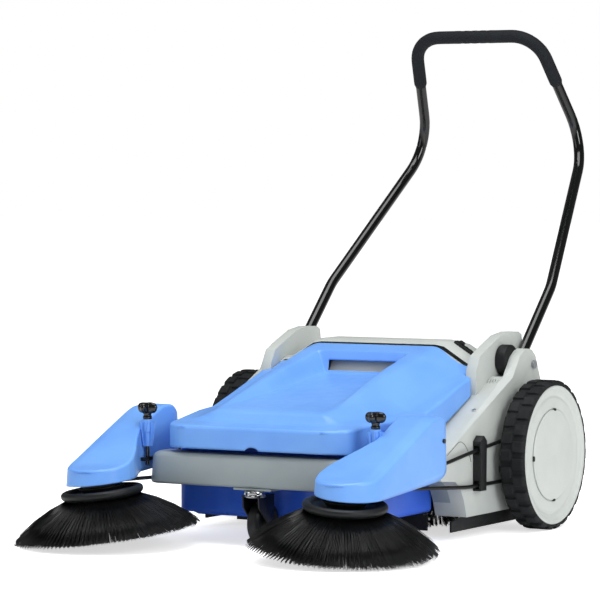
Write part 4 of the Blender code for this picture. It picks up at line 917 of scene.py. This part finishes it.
def arm_cover(name, side):
    """Outer and inner edge lines against y; the nose is x = centre +- sqrt(R^2 - (y - centre)^2)."""
    start = NOSE[1] - NOSE_RADIUS
    t = (1 - np.cos(np.linspace(0.0, math.pi, 130))) / 2
    y = start + (-0.3685 - start) * t
    bow = np.sqrt(np.clip(NOSE_RADIUS ** 2 - np.clip(y - NOSE[1], -NOSE_RADIUS, 0.0) ** 2, 0.0, None))
    outer = np.interp(y, [NOSE[1], -0.55, -0.398, -0.386, -0.376, -0.3685],
                      [0.309, 0.3095, 0.3085, 0.3060, 0.3000, 0.2890])
    inner = np.interp(y, [NOSE[1], -0.605, -0.578, -0.546, -0.516, -0.470, -0.400, -0.378, -0.3685],
                      [0.190, 0.1935, 0.2060, 0.2240, 0.2385, 0.2400, 0.2400, 0.2450, 0.2600])
    outer = np.where(y < NOSE[1], NOSE[0] + bow, outer)
    inner = np.where(y < NOSE[1], NOSE[0] - bow, inner)
    centre, _, _, n = brush_axes(name)
    base = centre + n * 0.0925 - np.array([0.0, AXLE_Y, 0.0])

    def height(x, y):
        """A nearly level nose, then a straight rise, then a crest that rounds off at the rear."""
        rise = 0.1431 + 0.4568 * (y + 0.6387)
        crest = 0.2360 - 0.040 * round_off((y + 0.4130) / 0.0455)
        nose = 0.136 + 0.12 * (y + 0.684)
        top = nose + knee(rise - nose, 0.006) - knee(rise - crest, 0.006)
        return top - 0.004 * step_up(np.abs(x), 0.285, 0.312)

    def low(x, y):
        """The lower edge lies in a plane square to the brush's axis and rounds up at the rear."""
        plane = base[2] - (n[0] * (x - base[0]) + n[1] * (y - base[1])) / n[2]
        return plane + 0.045 * round_off((y + 0.4300) / 0.0625)

    left, right = (inner, outer) if side > 0 else (-outer, -inner)
    obj = lid(name + "_moulded_arm", y, left, right, height, low, 0.0055, 71, False, 0.002, draft=0.0018)
    fit(obj, name + "_arm", BLUE, "arm_cover", name + "_arm_cover")
    rod = placed((side * 0.231, -0.502, 0.0))
    column = [(0.0040, 0.1665), (0.0078, 0.1665), (0.0080, 0.190), (0.0092, 0.1930), (0.0092, 0.2140),
              (0.0085, 0.2145), (0.0040, 0.2145)]
    post = turned(name + "_knob_column", column, rod, (0, 0, 1), count=48, reach=0.001)
    fit(post, name + "_arm", BLUE, "arm_cover")
    outline = soft_corners([(0.0070, 0.1675), (0.0092, 0.1675), (0.0152, 0.2075), (0.0150, 0.2100),
                            (0.0070, 0.2110)], 0.001, 4)
    half = np.array([-0.0008, 0.0008])[:, None, None]
    for number, turn in enumerate(np.radians(20.0 + 45.0 * np.arange(8))):
        along = np.array([math.cos(turn), math.sin(turn), 0.0])
        across = np.array([-math.sin(turn), math.cos(turn), 0.0])
        grid = (rod + outline[None, :, :1] * along + half * across
                + outline[None, :, 1:] * np.array([0.0, 0.0, 1.0]))
        fit(skin(f"{name}_column_rib_{number}", grid), name + "_arm", BLUE, "arm_cover")
    return obj


def star_knob(name):
    """Radius = R (0.735 + 0.265 cos 4a), scaled by a rounded profile of (share, height), and a neck."""
    low, high = span(name + "_star_knob")
    centre = np.array([(low[0] + high[0]) / 2, (low[1] + high[1]) / 2, 0.0])
    top = high[2]
    a = np.linspace(0.0, 2 * math.pi, 128, endpoint=False)
    radius = (high[0] - low[0]) / 2 * (0.735 + 0.265 * np.cos(4 * a))
    profile = np.array([(0.40, -0.0190), (0.66, -0.0185), (0.84, -0.0165), (0.95, -0.0135), (1.0, -0.0095),
                        (0.98, -0.0060), (0.90, -0.0028), (0.76, -0.0008), (0.58, 0.0), (0.34, -0.0006),
                        (0.20, -0.0020), (0.02, -0.0022)])
    share = profile[:, 0, None]
    grid = np.stack([centre[0] + share * radius * np.cos(a), centre[1] + share * radius * np.sin(a),
                     np.broadcast_to(top + profile[:, 1, None], (len(profile), 128))], axis=2)
    head = skin(name + "_lobed_knob", grid, smooth=60)
    fit(head, name + "_knob", PHENOLIC, "star_knob", name + "_star_knob")
    neck = [(0.0004, low[2]), (0.0036, low[2]), (0.0036, 0.2149), (0.0078, 0.2149), (0.0086, 0.2180),
            (0.0068, 0.2215), (0.0080, top - 0.0180), (0.0004, top - 0.0180)]
    fit(turned(name + "_knob_neck", neck, centre, (0, 0, 1), count=40), name + "_knob", PHENOLIC, "star_knob")
    return head


for name, side in SIDES:
    print(name, "arm faces", len(arm_cover(name, side).data.polygons), "knob", star_knob(name).name)

# %% [markdown]
# ## Frames, beam and covers
# The side frames, the beam and the rear cover are thick mouldings with plain faces. Their solids are right
# as they are, and need only the soft edges that a mould leaves. A table gives each kind of node the width of
# its soft edge and its material. The caster's fork also gets a bright swivel cup.

# %% Softened mouldings
SOFT = {"side_frame": (0.0022, LIGHT_GREY), "belt_guide": (0.0012, BLACK_PLASTIC),
        "handle_buffer": (0.0025, SKIRT_RUBBER), "arm_bracket": (0.0006, SATIN_BLACK),
        "front_beam": (0.0045, MID_GREY), "rear_cover": (0.0012, LIGHT_GREY),
        "notched_guide": (0.0006, BLACK_PLASTIC), "height_slider": (0.0008, BLACK_PLASTIC),
        "caster_fork": (0.0007, SATIN_BLACK), "caster_plate": (0.0010, MID_GREY),
        "rear_skirt": (0.0008, SKIRT_RUBBER), "side_skirt": (0.0008, SKIRT_RUBBER)}
body_of = {node: body for body, names in frame["record"]["behaviour"]["bodies"].items() for node in names}
for node in list(nodes):
    if kind(node) in SOFT:
        width, material = SOFT[kind(node)]
        fit(softened(node, width), body_of[node], material, kind(node), node)
swivel = np.array(joints["caster_swivel"]["pos_m"])
crown = span("caster_fork")[1][2]
cup = [(0.0005, crown - 0.0005), (0.0178, crown - 0.0005), (0.0186, crown - 0.0030), (0.0186, crown - 0.0072),
       (0.0205, crown - 0.0096), (0.0205, crown - 0.0112), (0.0180, crown - 0.0118), (0.0172, crown - 0.0080),
       (0.0172, crown - 0.0012), (0.0005, crown - 0.0012)]
fit(turned("caster_swivel_cup", cup, (swivel[0], swivel[1], 0.0), (0, 0, 1), count=64), "caster_fork", CHROME,
    "caster_fork")
print("softened kinds", len(SOFT))

# %% [markdown]
# ## The round belts
# Each side brush is driven by a round belt. It leaves the pulley beside the wheel, runs forward through the
# two eyes of a guide, twists flat and turns round the pulley above the brush. The loop's corners are soft.

# %% Drive belts
BELT_RADIUS = 0.0034
WHEEL_TURN = 0.0420
BRUSH_TURN = 0.0380
BELT_HEIGHT = 0.0945


def arc(centre, first, second, radius, start, sweep, count):
    """Points centre + radius (first cos a + second sin a) with a from start to start + sweep."""
    a = np.linspace(start, start + sweep, count)[:, None]
    return np.asarray(centre) + radius * (np.asarray(first) * np.cos(a) + np.asarray(second) * np.sin(a))


def belt(name, side):
    """Half a turn on the wheel pulley, two points by the guide, half a turn on the brush pulley."""
    low, high = span(name + "_belt_pulley")
    x = side * (abs(low[0]) + abs(high[0])) / 2
    guide = span(name + "_belt_guide")
    y = (guide[0][1] + guide[1][1]) / 2 - AXLE_Y - 0.0035
    wheel_turn = arc((x, 0.0, AXLE_Z), (0, 1, 0), (0, 0, 1), WHEEL_TURN, math.pi / 2, -math.pi, 25)
    under = [(x, y + 0.030, AXLE_Z - WHEEL_TURN), (x, y - 0.045, AXLE_Z - WHEEL_TURN)]
    centre, u, v, n = brush_axes(name)
    hub = centre + n * BELT_HEIGHT - np.array([0.0, AXLE_Y, 0.0])
    half = math.pi if side > 0 else 0.0
    brush_turn = arc(hub, u, v, BRUSH_TURN, half, side * math.pi, 25)
    over = [(x, y - 0.045, 0.154), (x, y + 0.020, 0.161)]
    line = np.vstack([wheel_turn, under, brush_turn, over])
    line = soft_corners(line, 0.012, 5)
    loop = refined(np.vstack([line, line[:1]]), 0.003)[:-1]
    obj = swept(name + "_round_belt", placed(loop), BELT_RADIUS, sides=12, closed=True)
    return fit(obj, "chassis", BELT_RUBBER, "drive_belt", name + "_drive_belt")


for name, side in SIDES:
    print(name, "belt faces", len(belt(name, side).data.polygons))

# %% [markdown]
# ## The caster wheel and small fittings
# The caster's wheel has a narrow solid tyre on a webbed hub. The side frames carry a few small things: a
# round screw on the sloping band, short ribs in the floor between the two ears, and a moulded seam line.

# %% Caster wheel, screws, ribs and seams
low, high = span("caster_wheel")
middle = (low + high) / 2
reach = (high[2] - low[2]) / 2
half = (high[0] - low[0]) / 2
profile = [(0.0040, -half), (0.0110, -half), (0.0130, -half + 0.0045), (0.0270, -half + 0.0050),
           (0.0300, -half + 0.0015), (0.0350, -half + 0.0010), (reach, -half + 0.0060),
           (reach, half - 0.0060), (0.0350, half - 0.0010), (0.0300, half - 0.0015),
           (0.0270, half - 0.0050), (0.0130, half - 0.0045), (0.0110, half), (0.0040, half)]
roll = turned("caster_tread", profile, middle, (1, 0, 0), count=72, reach=0.0012)
fit(roll, "caster_wheel", BLACK_PLASTIC, "caster_wheel", "caster_wheel")


BAND_SLOPE = 0.455


def frame_band(y):
    """Height of the sloping band on top of a side frame."""
    return 0.217 + (y + 0.181) * BAND_SLOPE


def frame_details(name, side):
    """Screw in a round boss on the band, ribs between the ears, and the seam on the outer face."""
    tilt = np.array([0.0, -BAND_SLOPE, 1.0]) / math.hypot(BAND_SLOPE, 1.0)
    foot = placed((side * 0.2485, -0.162, frame_band(-0.162)))
    boss = [(0.0004, -0.001), (0.0052, -0.001), (0.0050, 0.0016), (0.0042, 0.0020), (0.0036, 0.0010),
            (0.0004, 0.0010)]
    boss = turned(name + "_band_boss", boss, foot, tilt, count=36, reach=0.0004)
    fit(boss, "chassis", LIGHT_GREY, "side_frame")
    screw = [(0.0012, 0.0006), (0.0034, 0.0006), (0.0034, 0.0018), (0.0026, 0.0028), (0.0012, 0.0024)]
    screw = turned(name + "_band_screw", screw, foot, tilt, count=36, reach=0.0004)
    fit(screw, "chassis", ZINC, "handle_bolt")
    floor_z = frame_band(-0.060)
    for number, x in enumerate(np.linspace(0.2290, 0.2440, 4)):
        outline = soft_corners([(-0.074, floor_z - 0.009), (-0.060, floor_z + 0.0045),
                                (-0.0575, floor_z + 0.0050), (-0.0565, floor_z - 0.001)], 0.0012, 4)
        rib = slab(f"{name}_floor_rib_{number}", outline, side * x - 0.0010, side * x + 0.0010)
        fit(rib, "chassis", LIGHT_GREY, "side_frame")
    front = np.array([(-0.2735, 0.1060), (-0.2545, 0.0950), (-0.2405, 0.0720), (-0.2285, 0.0405)])
    back = front[::-1] + np.array([0.0030, 0.0008])
    outline = soft_corners(np.vstack([front - np.array([0.0008, 0.0]), back]), 0.0080, 6)
    fit(slab(name + "_front_strip", outline, side * 0.2060, side * 0.2400), "chassis", MID_GREY, "side_frame")
    face = side * (abs(span(name + "_side_frame")[0 if side < 0 else 1][0]) + 0.0001)
    seam = np.array([(face, -0.306, 0.192), (face, -0.256, 0.186), (face, -0.234, 0.169),
                     (face, -0.217, 0.147), (face, -0.213, 0.138)])
    seam[:, 2] = np.minimum(seam[:, 2], frame_band(seam[:, 1]) - 0.004)
    path = refined(soft_corners(seam, 0.012, 6, closed=False), 0.003)
    fit(swept(name + "_seam", placed(path), 0.0005, sides=8), "chassis", DARK, "ring_gear")


for name, side in SIDES:
    frame_details(name, side)
print("fittings ready")

# %% [markdown]
# ## Everything else
# The pieces inside the machine keep their solid shape and get just their real finish.

# %% Remaining solid nodes
FINISH = {"brush_housing": LIGHT_GREY, "stub_axle": ZINC, "roller_bearing": ZINC, "handle_bolt": ZINC,
          "arm_pin": SATIN_BLACK, "ring_gear": DARK, "belt_pulley": BLACK_PLASTIC, "pinion": BLACK_PLASTIC,
          "roller_shaft": ZINC, "roller_core": DARK, "arm_lever": SATIN_BLACK, "brush_spindle": ZINC,
          "hopper_lip": SKIRT_RUBBER}
for node, obj in nodes.items():
    if kind(node) in FINISH:
        for slot in obj.material_slots:
            slot.material = FINISH[kind(node)]
print("finished kinds", len(FINISH))

# %% [markdown]
# ## Floor, light and camera
# A pale floor that runs off into a pale surround, a large soft light above, and a long lens from the front
# right, low down.

# %% Stage
bpy.ops.mesh.primitive_plane_add(size=60.0, location=(0.0, 0.0, 0.0))
floor = bpy.context.object
floor.name = "studio_floor"
paper, tree, shader, _ = start_material("studio floor", "#FFFFFF", 0.95, Specular_IOR_Level=0.0)
shader.inputs["Emission Color"].default_value = (1.0, 1.0, 1.0, 1.0)
ray = add(tree, "LightPath")
glow = add(tree, "Math", {"operation": "MULTIPLY"})
glow.inputs[1].default_value = 0.62
tree.links.new(ray.outputs["Is Camera Ray"], glow.inputs[0])
tree.links.new(glow.outputs["Value"], shader.inputs["Emission Strength"])
floor.data.materials.append(paper)
world = bpy.data.worlds.new("studio")
bpy.context.scene.world = world
world.use_nodes = True
sky = world.node_tree.nodes["Background"]
sky.inputs["Color"].default_value = (1.0, 1.0, 1.0, 1.0)
ray = add(world.node_tree, "LightPath")
mirror = ranged(world.node_tree, ray.outputs["Is Glossy Ray"], 0.0, 1.0, 0.55, 0.12)
seen = add(world.node_tree, "Math", {"operation": "MAXIMUM"})
world.node_tree.links.new(mirror, seen.inputs[0])
world.node_tree.links.new(ray.outputs["Is Camera Ray"], seen.inputs[1])
world.node_tree.links.new(seen.outputs["Value"], sky.inputs["Strength"])
bpy.context.scene.view_settings.view_transform = "Standard"


def soft_light(name, place, target, size, power):
    """An area light at place that faces target."""
    light = bpy.data.lights.new(name, "AREA")
    light.shape = "RECTANGLE"
    light.size, light.size_y = size
    light.energy = power
    obj = bpy.data.objects.new(name, light)
    bpy.context.collection.objects.link(obj)
    aim(obj, place, target)
    return obj


def aim(obj, place, target):
    """Stand obj at place with its -Z towards target."""
    obj.location = place
    obj.rotation_euler = (Vector(target) - Vector(place)).to_track_quat("-Z", "Y").to_euler()


soft_light("top_light", (0.2, -0.6, 3.2), (0.0, 0.0, 0.3), (2.4, 2.0), 60.0)
soft_light("front_left_light", (-2.8, -3.2, 1.6), (0.0, 0.0, 0.3), (1.6, 1.8), 14.0)
soft_light("right_light", (3.4, -1.6, 1.7), (0.2, 0.0, 0.2), (1.2, 1.8), 52.0)
camera = bpy.data.objects.new("camera", bpy.data.cameras.new("camera"))
camera.data.lens = 199.9
camera.data.sensor_width = 36.0
camera.data.clip_end = 100.0
bpy.context.collection.objects.link(camera)
aim(camera, (2.942, -5.509 + AXLE_Y, 0.665), (-0.0228, -0.3188 + AXLE_Y, 0.4246))
bpy.context.scene.camera = camera
print("lights", len(bpy.data.lights))
